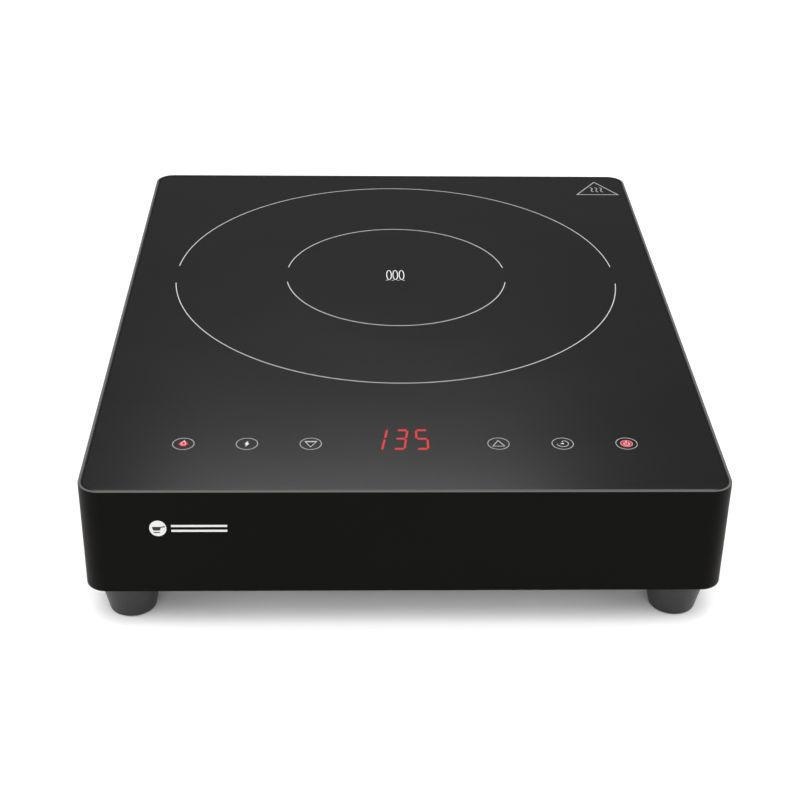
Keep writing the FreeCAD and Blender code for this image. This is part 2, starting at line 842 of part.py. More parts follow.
def make_terminal_block():
    body = new_body("terminal_block")
    outline = sketch_on(body, "terminal_outline", "XY_Plane")
    rectangle(outline, "terminal_width", "terminal_depth")
    pad(body, outline, "terminal_height")
    screws = sketch_on(body, "terminal_screw_holes", "XY_Plane", "terminal_height")
    ways = sketch_on(body, "terminal_wire_holes", "XZ_Plane", "terminal_depth/2")
    for pole in (-1, 0, 1):
        circle(screws, "terminal_screw_radius", f"{pole}*terminal_pitch")
        circle(ways, "terminal_wire_radius", f"{pole}*terminal_pitch", "terminal_wire_level")
    pocket(body, screws, "terminal_screw_depth")
    pocket(body, ways, "terminal_depth")
    finish(body, "terminal_block", "gland_x", "terminal_y", BASE_TOP)


def make_earth_stud():
    """A spacer on the base plate with the ring terminal, its nut and the end of the bolt."""
    pieces = [
        rod("stud_spacer", "stud_spacer_radius", "stud_spacer_height"),
        rod("stud_ring", "stud_ring_radius", "stud_ring_thickness", z="stud_spacer_height"),
        rod("stud_nut", "stud_nut_radius", "stud_nut_height",
            z="stud_spacer_height + stud_ring_thickness"),
        rod("stud_bolt", "stud_bolt_radius", "stud_bolt_height"),
    ]
    finish(join("stud", pieces), "earth_stud", str(EARTH_STUD[0]), str(EARTH_STUD[1]), BASE_TOP)


def make_mains_leads():
    """Three leads between the terminal block, the board and the earth stud, from the table up."""
    radius = size("lead_radius")
    routes = {
        "live_lead": [(-131, 168, 40), (-131, 158, 40), (-128, 148, 43), (-125, 138.5, 41),
                      (-125, 129, 41)],
        "neutral_lead": [(-120, 168, 40), (-120, 158, 40), (-115.5, 148.5, 43),
                         (-108, 139.5, 41), (-108, 129, 41)],
        "earth_lead": [(-109, 168, 40), (-109, 157, 40), (-104, 147, 42), (-94, 143.5, 43),
                       (-85, 150, 42), (-84, 162, 39.5), (-86, 176, 39.5)],
    }
    for label, route in routes.items():
        finish(feature_of(label, lead_shape(label, radius, route)), label)


# ------------------------------------------------------------------ power board
def make_power_board():
    body = new_body("power_board")
    outline = sketch_on(body, "power_board_outline", "XY_Plane")
    rectangle(outline, "board_width", "board_depth", y="board_y")
    pad(body, outline, "board_thickness")
    holes = sketch_on(body, "power_board_holes", "XY_Plane", "board_thickness")
    for x, y in BOARD_SPOTS:
        circle(holes, "small_hole_radius", str(x), str(y))
    for sign in (-1, 1):
        circle(holes, "pillar_radius + pillar_clearance", f"{sign}*lug_offset", "coil_y + lug_offset")
    pocket(body, holes, "2*board_thickness")
    finish(body, "power_board", z=f"{BASE_TOP} + standoff_height")


def make_standoffs():
    pieces = []
    for i, (x, y) in enumerate(BOARD_SPOTS):
        solid = rod(f"standoff_{i}_solid", "standoff_radius", "standoff_height", str(x), str(y))
        hole = rod(f"standoff_{i}_hole", "small_hole_radius", "standoff_height", str(x), str(y))
        pieces.append(cut(f"standoff_{i}", solid, hole))
    finish(group("standoffs", pieces), "board_standoffs", z=BASE_TOP)


def make_board_screws():
    """The small screws of the power board and of the control board, all alike."""
    down = Vector(0, 0, -1)
    screws = [pan_screw(f"power_screw_{i}", "small_", "7", str(x), str(y), BOARD_TOP, down)
              for i, (x, y) in enumerate(BOARD_SPOTS)]
    screws += [pan_screw(f"control_screw_{i}", "small_", "5", str(x), str(y), CONTROL_TOP, down)
               for i, (x, y) in enumerate(CONTROL_SPOTS)]
    finish(group("screws_of_boards", screws), "board_screws")


def make_heat_sink():
    """An extruded section: a flat base, an upright web for the power devices and upright fins."""
    body = new_body("heat_sink")
    base = sketch_on(body, "sink_base_outline", "XZ_Plane", "-sink_length/2")
    polygon(base, [
        ("0", "0"),
        ("sink_width", "0"),
        ("sink_width", "sink_base"),
        ("sink_base", "sink_base"),
        ("sink_base", "sink_height"),
        ("0", "sink_height"),
    ])
    pad(body, base, "sink_length")
    fin = sketch_on(body, "sink_fin_outline", "XZ_Plane", "-sink_length/2")
    rectangle(fin, "fin_thickness", "sink_height - sink_base/2", "sink_base + fin_pitch",
              "sink_height/2 + sink_base/4")
    first_fin = pad(body, fin, "sink_length")
    pattern(body, "LinearPattern", first_fin, fin, "H_Axis", "fin_count",
            "(fin_count - 1)*fin_pitch")
    holes = sketch_on(body, "sink_screw_holes", "YZ_Plane", "sink_base")
    for y in (*TRANSISTOR_Y, BRIDGE_Y):
        circle(holes, "small_hole_radius", f"{y} - sink_y", "device_hole_level")
    pocket(body, holes, "sink_base")
    finish(body, "heat_sink", "sink_x", "sink_y", BOARD_TOP)


def power_device(name, width, legs, y):
    """A flat package that leans on the heat sink's web, with its legs in the board."""
    plate = block(f"{name}_package", "device_thickness", width, "device_height",
                  "-device_thickness/2", y, "device_level")
    hole = rod(f"{name}_hole", "small_hole_radius", "device_thickness", "-device_thickness", y,
               "device_hole_level", Vector(1, 0, 0))
    package = cut(f"{name}_drilled", plate, hole)
    pitch = f"({width} - 4)/{legs - 1}"
    pins = [block(f"{name}_leg_{i}", "leg_thickness", "leg_width", "device_level + 1",
                  "-device_thickness/2", f"{y} + ({i - (legs - 1) / 2})*{pitch}")
            for i in range(legs)]
    return join(name, [package, *pins])


def make_power_devices():
    place = ("sink_x", "0", BOARD_TOP)
    transistors = [power_device(f"transistor_{i}", "device_width", 3, str(y))
                   for i, y in enumerate(TRANSISTOR_Y)]
    finish(group("transistors", transistors), "power_transistors", *place)
    finish(power_device("bridge", "bridge_width", 4, str(BRIDGE_Y)), "bridge_rectifier", *place)
    screws = [pan_screw(f"device_screw_{i}", "small_", "device_thickness + sink_base - 0.5",
                        "-device_thickness", str(y), "device_hole_level", Vector(1, 0, 0))
              for i, y in enumerate((*TRANSISTOR_Y, BRIDGE_Y))]
    finish(group("screws_of_devices", screws), "transistor_screws", *place)


def make_capacitors():
    film = [soft_block(f"film_capacitor_{i}", "film_length", "film_width", "film_height",
                       "34", y, "0", CASE_ROUND) for i, y in enumerate(("76", "102"))]
    finish(group("film_capacitors", film), "resonant_capacitors", z=BOARD_TOP)
    link = soft_block("link_blank", "film_length", "link_width", "link_height",
                      "24", "132", "0", CASE_ROUND)
    finish(link, "link_capacitor", z=BOARD_TOP)
    line = [soft_block(f"line_capacitor_{i}", "filter_length", "filter_width", "filter_height",
                       "-112", y, "0", CASE_ROUND) for i, y in enumerate(("74", "60"))]
    finish(group("line_capacitors", line), "filter_capacitors", z=BOARD_TOP)
    cans = [rod(name, *can) for name, can in CANS.items()]
    finish(group("cans", cans), "smoothing_capacitors", z=BOARD_TOP)


def make_choke():
    """A ring core with two windings of separate loops."""
    place = ("-118", "101", f"{BOARD_TOP} + choke_lift")
    core = doc.addObject("Part::Torus", "choke_ring")
    core.setExpression("Radius1", bound("choke_radius"))
    core.setExpression("Radius2", bound("choke_section_radius"))
    finish(core, "choke_core", *place)
    loops = []
    for side in (0, 180):
        for step in range(-3, 4):
            angle = math.radians(side + 22 * step)
            loop = doc.addObject("Part::Torus", f"loop_{side}_{step + 3}")
            loop.setExpression("Radius1", bound("choke_loop_radius"))
            loop.setExpression("Radius2", bound("choke_wire_radius"))
            tangent = Vector(-math.sin(angle), math.cos(angle), 0)
            put(loop, f"({math.cos(angle):.6f})*choke_radius",
                f"({math.sin(angle):.6f})*choke_radius", "0",
                Rotation(Vector(0, 0, 1), tangent))
            loops.append(loop)
    finish(group("loops", loops), "choke_windings", *place)


def make_small_board_parts():
    transformer = join("transformer", [
        block("transformer_core", "8", "26", "20", "-70", "96"),
        block("transformer_bobbin", "20", "16", "15", "-70", "96", "1.5"),
    ])
    finish(transformer, "supply_transformer", z=BOARD_TOP)
    along = Vector(0, 1, 0)
    fuse = join("fuse_whole", [
        rod("fuse_tube", "2.4", "20", "-141", "90", "5.5", along),
        rod("fuse_cap_front", "2.9", "5", "-141", "88", "5.5", along),
        rod("fuse_cap_rear", "2.9", "5", "-141", "107", "5.5", along),
        block("fuse_clip_front", "5", "3", "5", "-141", "90.5"),
        block("fuse_clip_rear", "5", "3", "5", "-141", "109.5"),
    ])
    finish(fuse, "fuse", z=BOARD_TOP)
    posts = [block(f"input_tab_{i}", "5", "4", "9", str(x), str(y))
             for i, (x, y) in enumerate(INPUT_TABS)]
    posts += [rod(f"coil_post_{i}", "3", "6", str(x), str(y))
              for i, (x, y) in enumerate(COIL_POSTS)]
    finish(group("posts_of_board", posts), "board_posts", z=BOARD_TOP)
    sockets = [
        block("fan_socket", "8", "7", "6", str(FAN_SOCKET[0]), str(FAN_SOCKET[1])),
        block("ribbon_socket", "ribbon_width + 4", "8", "7", str(RIBBON_SOCKET[0]),
              str(RIBBON_SOCKET[1])),
    ]
    finish(group("sockets", sockets), "board_sockets", z=BOARD_TOP)


# ------------------------------------------------------------------ coil and sensor
def lug_spots():
    return [(f"{sign_x}*lug_offset", f"{sign_y}*lug_offset") for sign_x, sign_y in CORNER_SIGNS]


def make_coil_pillars():
    """Posts with a shoulder for each spring and a pin that guides the carrier's lug."""
    pillars = []
    for i, (x, y) in enumerate(lug_spots()):
        lower = rod(f"pillar_{i}_lower", "pillar_radius", f"{SHOULDER} - {BASE_TOP}", x, y)
        pin = rod(f"pillar_{i}_pin", "pin_radius", "pin_height", x, y, f"{SHOULDER} - {BASE_TOP}")
        solid = join(f"pillar_{i}_solid", [lower, pin])
        hole = rod(f"pillar_{i}_hole", "small_hole_radius", "7", x, y,
                   f"{SHOULDER} - {BASE_TOP} + pin_height - 7")
        pillars.append(cut(f"pillar_{i}", solid, hole))
    finish(group("pillars", pillars), "coil_pillars", y="coil_y", z=BASE_TOP)
    screws = [pan_screw(f"coil_screw_{i}", "small_", "6", x, y, f"{SHOULDER} + pin_height",
                        Vector(0, 0, -1)) for i, (x, y) in enumerate(lug_spots())]
    finish(group("screws_of_coil", screws), "coil_screws", y="coil_y")


def make_coil_springs():
    springs = [helix_spring(f"coil_spring_{i}", "coil_spring_radius", "coil_spring_wire",
                            "coil_spring_pitch", "coil_spring_length", x, y)
               for i, (x, y) in enumerate(lug_spots())]
    finish(group("springs_of_coil", springs), "coil_springs", y="coil_y", z=SHOULDER)


def make_coil_carrier():
    """A shallow dish with four lugs and a hub cup; the floor of the dish is at its own z = 0."""
    body = new_body("coil_carrier")
    plate = sketch_on(body, "carrier_plate_outline", "XY_Plane", "-carrier_plate")
    circle(plate, "carrier_radius")
    pad(body, plate, "carrier_plate")
    lugs = sketch_on(body, "carrier_lugs", "XY_Plane", "-carrier_plate")
    for x, y in lug_spots():
        circle(lugs, "lug_radius", x, y)
    pad(body, lugs, "carrier_plate")
    rim = sketch_on(body, "carrier_rim_outline", "XY_Plane")
    circle(rim, "carrier_radius")
    circle(rim, "carrier_radius - carrier_rim")
    pad(body, rim, "carrier_rim_height")
    hub = sketch_on(body, "carrier_hub", "XY_Plane", "-hub_depth")
    circle(hub, "hub_radius")
    pad(body, hub, "hub_depth + carrier_rim_height")
    cup = sketch_on(body, "carrier_cup", "XY_Plane", "carrier_rim_height")
    circle(cup, "hub_radius - hub_wall")
    pocket(body, cup, "carrier_rim_height + hub_depth - hub_floor")
    holes = sketch_on(body, "carrier_holes", "XY_Plane")
    circle(holes, "guide_radius")
    circle(holes, "litz_hole_radius", "winding_start")
    circle(holes, "litz_hole_radius", f"-{WINDING_END}")
    for x, y in lug_spots():
        circle(holes, "lug_hole_radius", x, y)
    pocket(body, holes, "2*hub_depth")
    finish(body, "coil_carrier", y="coil_y", z=COIL_FLOOR)


def make_coil_winding():
    """A flat spiral of half circles, each wider than the last by half the pitch."""
    step = size("winding_pitch") / 2
    arcs = []
    for half_turn in range(int(size("winding_half_turns"))):
        radius = size("winding_start") + half_turn * step
        odd = half_turn % 2
        centre = Vector(odd * step, 0, 0)
        side = -1 if odd else 1
        start = centre + Vector(side * radius, 0, 0)
        top = centre + Vector(0, side * radius, 0)
        end = centre - Vector(side * radius, 0, 0)
        arcs.append(Part.Arc(start, top, end).toShape())
    path = Part.Wire(arcs)
    start = Vector(size("winding_start"), 0, 0)
    shape = swept("coil_winding", path, round_section(size("litz_radius"), start, Vector(0, 1, 0)))
    finish(feature_of("coil_winding", shape), "coil_winding", y="coil_y",
           z=f"{COIL_FLOOR} + litz_radius + 0.05")


def make_ferrites():
    body = new_body("ferrite_bars")
    bar = sketch_on(body, "ferrite_outline", "XY_Plane", "-ferrite_thickness")
    rectangle(bar, "ferrite_length", "ferrite_width", "ferrite_start + ferrite_length/2")
    first_bar = pad(body, bar, "ferrite_thickness")
    pattern(body, "PolarPattern", first_bar, bar, "N_Axis", "ferrite_count", 360)
    finish(body, "ferrite_bars", y="coil_y", z=f"{COIL_FLOOR} - carrier_plate")
    body.Placement.Rotation = Rotation(Vector(0, 0, 1), 22.5)


def make_mica():
    solid = rod("mica_disc", "mica_radius", "mica_thickness")
    hole = rod("mica_opening", "mica_hole", "mica_thickness")
    finish(cut("mica", solid, hole), "mica_sheet", y="coil_y",
           z=f"{COIL_FLOOR} + carrier_rim_height")


def make_coil_leads():
    """The two ends of the litz, down through the carrier to their posts on the board."""
    radius = size("litz_radius")
    inner = size("winding_start")
    outer = -inner - (size("winding_half_turns") - 1) * size("winding_pitch") / 2
    middle = size("coil_y")
    routes = [
        [(inner, middle, 76.1), (inner, middle, 63), (15.5, 50, 52.5), (15.5, 50, 41)],
        [(outer, middle, 76.1), (outer, middle, 62), (-90, 49, 53), (-90, 49, 41)],
    ]
    shapes = [lead_shape(f"coil_lead_{i}", radius, route) for i, route in enumerate(routes)]
    finish(feature_of("coil_leads", Part.makeCompound(shapes)), "coil_leads")


def make_sensor():
    """A plunger in the hub of the carrier that presses its bead to the glass."""
    floor = f"({COIL_FLOOR} - hub_depth + hub_floor)"
    bead_top = f"({GLASS_BOTTOM} - coil_gap)"
    head_bottom = f"({bead_top} - bead_height - sensor_head_height)"
    stem_bottom = f"({floor} - hub_floor - stem_drop)"
    holder = join("plunger", [
        rod("plunger_stem", "stem_radius", f"{head_bottom} - {stem_bottom} + 1"),
        rod("plunger_head", "sensor_head_radius", "sensor_head_height",
            z=f"{head_bottom} - {stem_bottom}"),
    ])
    finish(holder, "sensor_holder", y="coil_y", z=stem_bottom)
    finish(rod("bead", "bead_radius", "bead_height"), "sensor_bead", y="coil_y",
           z=f"{bead_top} - bead_height")
    spring = helix_spring("plunger_spring", "sensor_spring_radius", "sensor_spring_wire",
                          "sensor_spring_pitch", f"({head_bottom} - {floor})")
    finish(group("spring_of_sensor", [spring]), "sensor_spring", y="coil_y", z=floor)


# ------------------------------------------------------------------ fan and air duct
def make_fan_frame():
    body = new_body("fan_frame")
    outline = sketch_on(body, "fan_outline", "XY_Plane")
    rounded_rectangle(outline, "fan_size", "fan_size", "fan_corner")
    circle(outline, "fan_bore")
    pad(body, outline, "fan_height")
    holes = sketch_on(body, "fan_corner_holes", "XY_Plane", "fan_height")
    for sign_x, sign_y in CORNER_SIGNS:
        circle(holes, "large_hole_radius", f"{sign_x}*fan_hole_offset", f"{sign_y}*fan_hole_offset")
    pocket(body, holes, "2*fan_height")
    mount = sketch_on(body, "fan_motor_mount", "XY_Plane")
    circle(mount, "fan_mount_radius")
    pad(body, mount, "fan_mount_height")
    strut = sketch_on(body, "fan_strut", "XY_Plane")
    rectangle(strut, "fan_bore - fan_mount_radius/2", "fan_strut_width",
              "fan_bore/2 + fan_mount_radius/4 + 1")
    first_strut = pad(body, strut, "fan_mount_height")
    pattern(body, "PolarPattern", first_strut, strut, "N_Axis", "4", 360)
    finish(body, "fan_frame", "fan_x", "fan_y", BASE_TOP)


def make_fan_stator():
    """The motor's fixed core and the sleeve that the shaft runs in."""
    stator = join("stator_whole", [
        rod("stator_core", "stator_radius", "stator_height", z="fan_mount_height + 1.5"),
        rod("stator_sleeve", "bearing_radius", "stator_height + 3", z="fan_mount_height"),
    ])
    bore = rod("stator_bore", "shaft_radius + shaft_clearance", "stator_height + 3",
               z="fan_mount_height")
    finish(cut("stator", stator, bore), "fan_stator", "fan_x", "fan_y", BASE_TOP)


def make_fan_rotor():
    """A cup over the stator with its shaft and seven twisted blades."""
    body = new_body("fan_rotor")
    low = "(fan_mount_height + hub_cup_gap)"
    top = f"({low} + hub_cup_height)"
    profile = sketch_on(body, "rotor_profile", "XZ_Plane")
    polygon(profile, [
        ("0", low),
        ("shaft_radius", low),
        ("shaft_radius", f"{top} - hub_cup_wall"),
        ("hub_cup_radius - hub_cup_wall", f"{top} - hub_cup_wall"),
        ("hub_cup_radius - hub_cup_wall", low),
        ("hub_cup_radius", low),
        ("hub_cup_radius", top),
        ("0", top),
    ])
    revolve(body, profile)
    doc.recompute()
    sections = []
    for name, level, chord, pitch_angle in (
            ("blade_root_section", "blade_root", "blade_root_chord", 42),
            ("blade_tip_section", "blade_tip", "blade_tip_chord", 27)):
        section = sketch_on(body, name, "YZ_Plane", level, pitch_angle)
        section.setExpression("AttachmentOffset.Base.y", bound(f"{low} + blade_level"))
        rectangle(section, chord, "blade_thickness")
        sections.append(section)
    blade = body.newObject("PartDesign::AdditiveLoft", "blade")
    blade.Profile = sections[0]
    blade.Sections = [sections[1]]
    blade.Ruled = True
    pattern(body, "PolarPattern", blade, profile, "V_Axis", "blade_count", 360)
    finish(body, "fan_rotor", "fan_x", "fan_y", BASE_TOP)


def make_fan_screws():
    screws = [pan_screw(f"fan_screw_{i}", "large_", "base_thickness + 14",
                        f"fan_x + {sign_x}*fan_hole_offset", f"fan_y + {sign_y}*fan_hole_offset",
                        "0", Vector(0, 0, 1)) for i, (sign_x, sign_y) in enumerate(CORNER_SIGNS)]
    finish(group("screws_of_fan", screws), "fan_screws", z="foot_height")


def make_fan_lead():
    route = [(92, 10, 42), (92, 18.5, 42), (88, 26, 40.5), (80.5, 29.5, 38.5), (72, 29.5, 38.5)]
    shape = lead_shape("fan_lead", size("fan_lead_radius"), route)
    finish(feature_of("fan_lead", shape), "fan_lead")


def make_air_duct():
    """A sheet roof over the fan and the heat sink, with walls in front of and beside the fan."""
    body = new_body("air_duct")
    roof = sketch_on(body, "duct_roof", "XY_Plane", "duct_level")
    polygon(roof, [
        ("duct_left", "duct_front"),
        ("duct_fan_right", "duct_front"),
        ("duct_fan_right", "duct_step"),
        ("duct_sink_right", "duct_step"),
        ("duct_sink_right", "duct_back"),
        ("duct_left", "duct_back"),
    ])
    pad(body, roof, "duct_sheet")
    walls = sketch_on(body, "duct_walls", "XY_Plane")
    polygon(walls, [
        ("duct_left", "duct_front"),
        ("duct_fan_right", "duct_front"),
        ("duct_fan_right", "duct_front + duct_sheet"),
        ("duct_left + duct_sheet", "duct_front + duct_sheet"),
        ("duct_left + duct_sheet", "0"),
        ("duct_left", "0"),
    ])
    pad(body, walls, "duct_level")
    finish(body, "air_duct", z=BASE_TOP)


# ------------------------------------------------------------------ controls
def make_control_bracket():
    """A sheet bridge on two legs, with four bosses that carry the control board."""
    body = new_body("control_bracket")
    frame = sketch_on(body, "bracket_profile", "XZ_Plane", "-control_depth/2")
    sheet_top = "(control_level - bracket_rise)"
    polygon(frame, [
        ("-bracket_width/2", "0"),
        ("-bracket_width/2 + bracket_sheet", "0"),
        ("-bracket_width/2 + bracket_sheet", f"{sheet_top} - bracket_sheet"),
        ("bracket_width/2 - bracket_sheet", f"{sheet_top} - bracket_sheet"),
        ("bracket_width/2 - bracket_sheet", "0"),
        ("bracket_width/2", "0"),
        ("bracket_width/2", sheet_top),
        ("-bracket_width/2", sheet_top),
    ])
    pad(body, frame, "control_depth")
    bosses = sketch_on(body, "bracket_bosses", "XY_Plane", sheet_top)
    holes = sketch_on(body, "bracket_holes", "XY_Plane", "control_level")
    for x, y in CONTROL_SPOTS:
        circle(bosses, "boss_radius", str(x), f"{y} - control_y")
        circle(holes, "small_hole_radius", str(x), f"{y} - control_y")
    pad(body, bosses, "bracket_rise")
    pocket(body, holes, "bracket_rise")
    finish(body, "control_bracket", y="control_y", z=BASE_TOP)


def make_control_board():
    body = new_body("control_board")
    outline = sketch_on(body, "control_board_outline", "XY_Plane")
    rectangle(outline, "control_width", "control_depth")
    pad(body, outline, "board_thickness")
    holes = sketch_on(body, "control_board_holes", "XY_Plane", "board_thickness")
    for x, y in CONTROL_SPOTS:
        circle(holes, "small_hole_radius", str(x), f"{y} - control_y")
    pocket(body, holes, "2*board_thickness")
    finish(body, "control_board", y="control_y", z=CONTROL_BOTTOM)


def make_touch_springs():
    """One sensing spring under each key, from the control board up to the glass."""
    springs = [helix_spring(f"touch_spring_{i}", "touch_spring_radius", "touch_spring_wire",
                            "touch_spring_pitch", f"({GLASS_BOTTOM} - {CONTROL_TOP})", str(x))
               for i, x in enumerate(KEY_X)]
    finish(group("springs_of_keys", springs), "touch_springs", y="control_y", z=CONTROL_TOP)


def make_display():
    display = soft_block("display_blank", "display_width", "display_depth", "display_height",
                         "0", "3", "0", 0.5)
    finish(display, "display_module", y="control_y", z=CONTROL_TOP)


def make_ribbon():
    """The flat cable from the control board's rear edge to the power board."""
    route = [(0, -137, 70.8), (0, -120, 70.8), (0, -100, 61), (0, -77, 44), (0, -46, 36.5),
             (0, -18, 36), (0, 6, 39), (0, 27, 39)]
    path = rounded_path("ribbon_cable", route)
    half_width = size("ribbon_width") / 2
    half_thickness = size("ribbon_thickness") / 2
    start = Vector(*route[0])
    along = (Vector(*route[1]) - start).normalize()
    across = Vector(1, 0, 0)
    lift = along.cross(across)
    corners = [start + across * (half_width * side) + lift * (half_thickness * rise)
               for side, rise in ((-1, -1), (1, -1), (1, 1), (-1, 1), (-1, -1))]
    shape = swept("ribbon_cable", path, Part.makePolygon(corners))
    finish(feature_of("ribbon_cable", shape), "ribbon_cable")


# ------------------------------------------------------------------ the whole hob
make_housing()
make_glass()
make_glass_seal()
make_base_plate()
for foot_label, foot_signs in FOOT_SIGNS.items():
    make_foot(foot_label, *foot_signs)
make_foot_pads()
make_foot_screws()
make_frame_posts()
make_base_screws()
make_gland()
make_terminal_block()
make_earth_stud()
make_mains_leads()
make_power_board()
make_standoffs()
make_board_screws()
make_heat_sink()
make_power_devices()
make_capacitors()
make_choke()
make_small_board_parts()
make_coil_pillars()
make_coil_springs()
make_coil_carrier()
make_coil_winding()
make_ferrites()
make_mica()
make_coil_leads()
make_sensor()
make_fan_frame()
make_fan_stator()
make_fan_rotor()
make_fan_screws()
make_fan_lead()
make_air_duct()
make_control_bracket()
make_control_board()
make_touch_springs()
make_display()
make_ribbon()
doc.recompute()

for item in doc.Objects:
    if {"Invalid", "Error"} & set(item.State):
        raise ValueError(f"{item.Name} is {item.State}")
for item in sub_parts:
    if item.Shape.isNull() or not item.Shape.isValid():
        raise ValueError(f"{item.Label} has no valid shape")

os.makedirs("parts", exist_ok=True)
for item in sub_parts:
    item.Shape.exportStep(f"parts/{item.Label}.step")
print(len(sub_parts), "sub-parts written")
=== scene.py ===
"""Looks of the portable induction hob: materials, printed and lit marks, studio and camera."""

import json
import math

import bmesh
import bpy
from mathutils import Matrix, Vector


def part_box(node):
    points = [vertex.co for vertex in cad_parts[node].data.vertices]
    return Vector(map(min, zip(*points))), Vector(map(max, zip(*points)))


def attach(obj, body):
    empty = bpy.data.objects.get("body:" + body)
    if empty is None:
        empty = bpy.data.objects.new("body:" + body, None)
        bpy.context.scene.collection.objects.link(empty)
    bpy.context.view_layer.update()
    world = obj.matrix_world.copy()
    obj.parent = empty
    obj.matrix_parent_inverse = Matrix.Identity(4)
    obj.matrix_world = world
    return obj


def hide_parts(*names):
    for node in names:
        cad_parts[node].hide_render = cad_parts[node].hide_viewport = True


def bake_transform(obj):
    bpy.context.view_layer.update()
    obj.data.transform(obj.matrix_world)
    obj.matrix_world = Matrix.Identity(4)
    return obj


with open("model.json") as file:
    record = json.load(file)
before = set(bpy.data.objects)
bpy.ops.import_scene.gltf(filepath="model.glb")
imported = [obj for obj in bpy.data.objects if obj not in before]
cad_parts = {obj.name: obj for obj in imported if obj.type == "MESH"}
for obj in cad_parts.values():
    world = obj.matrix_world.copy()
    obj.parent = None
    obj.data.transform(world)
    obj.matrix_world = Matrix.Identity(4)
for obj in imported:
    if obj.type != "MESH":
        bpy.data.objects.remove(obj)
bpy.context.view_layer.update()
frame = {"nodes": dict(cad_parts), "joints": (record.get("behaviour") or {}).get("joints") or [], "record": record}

MM = 0.001
NODES = frame["nodes"]
SLOTS = {entry["node"]: entry["material_slot"] for entry in frame["record"]["subparts"]}

# places that the marks are measured from
GLASS_HIGH = Vector(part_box("glass_top")[1])
BODY_LOW, BODY_HIGH = (Vector(corner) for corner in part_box("housing"))
COIL_LOW, COIL_HIGH = (Vector(corner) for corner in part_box("mica_sheet"))
GLASS_TOP = GLASS_HIGH.z
RING_CENTRE = (COIL_LOW + COIL_HIGH) / 2
KEY_ROW_INSET = 47 * MM
KEY_ROW_Y = BODY_LOW.y + KEY_ROW_INSET

# how far a print stands out of its surface and reaches into it, and how far a backing lies under it
INK_PROUD = 0.03 * MM
INK_SUNK = 0.02 * MM
BACKING_DROP = 0.012 * MM
SAME_POINT = 1e-9

GLASS_COLOUR = (0.0035, 0.0035, 0.0035)
# painted highlight: the lighter grey mixed into the glass along its edges
GLASS_EDGE_HIGHLIGHT = (0.02, 0.02, 0.02)
RIM_COLOUR = (0.088, 0.088, 0.086)
RIM_DEPTH = 0.05 * MM
RIM_BLEND = 0.06 * MM

# the dot product of bevelled and true normals where edge wear starts, and where it is full
EDGE_START = 0.995
EDGE_FULL = 0.88


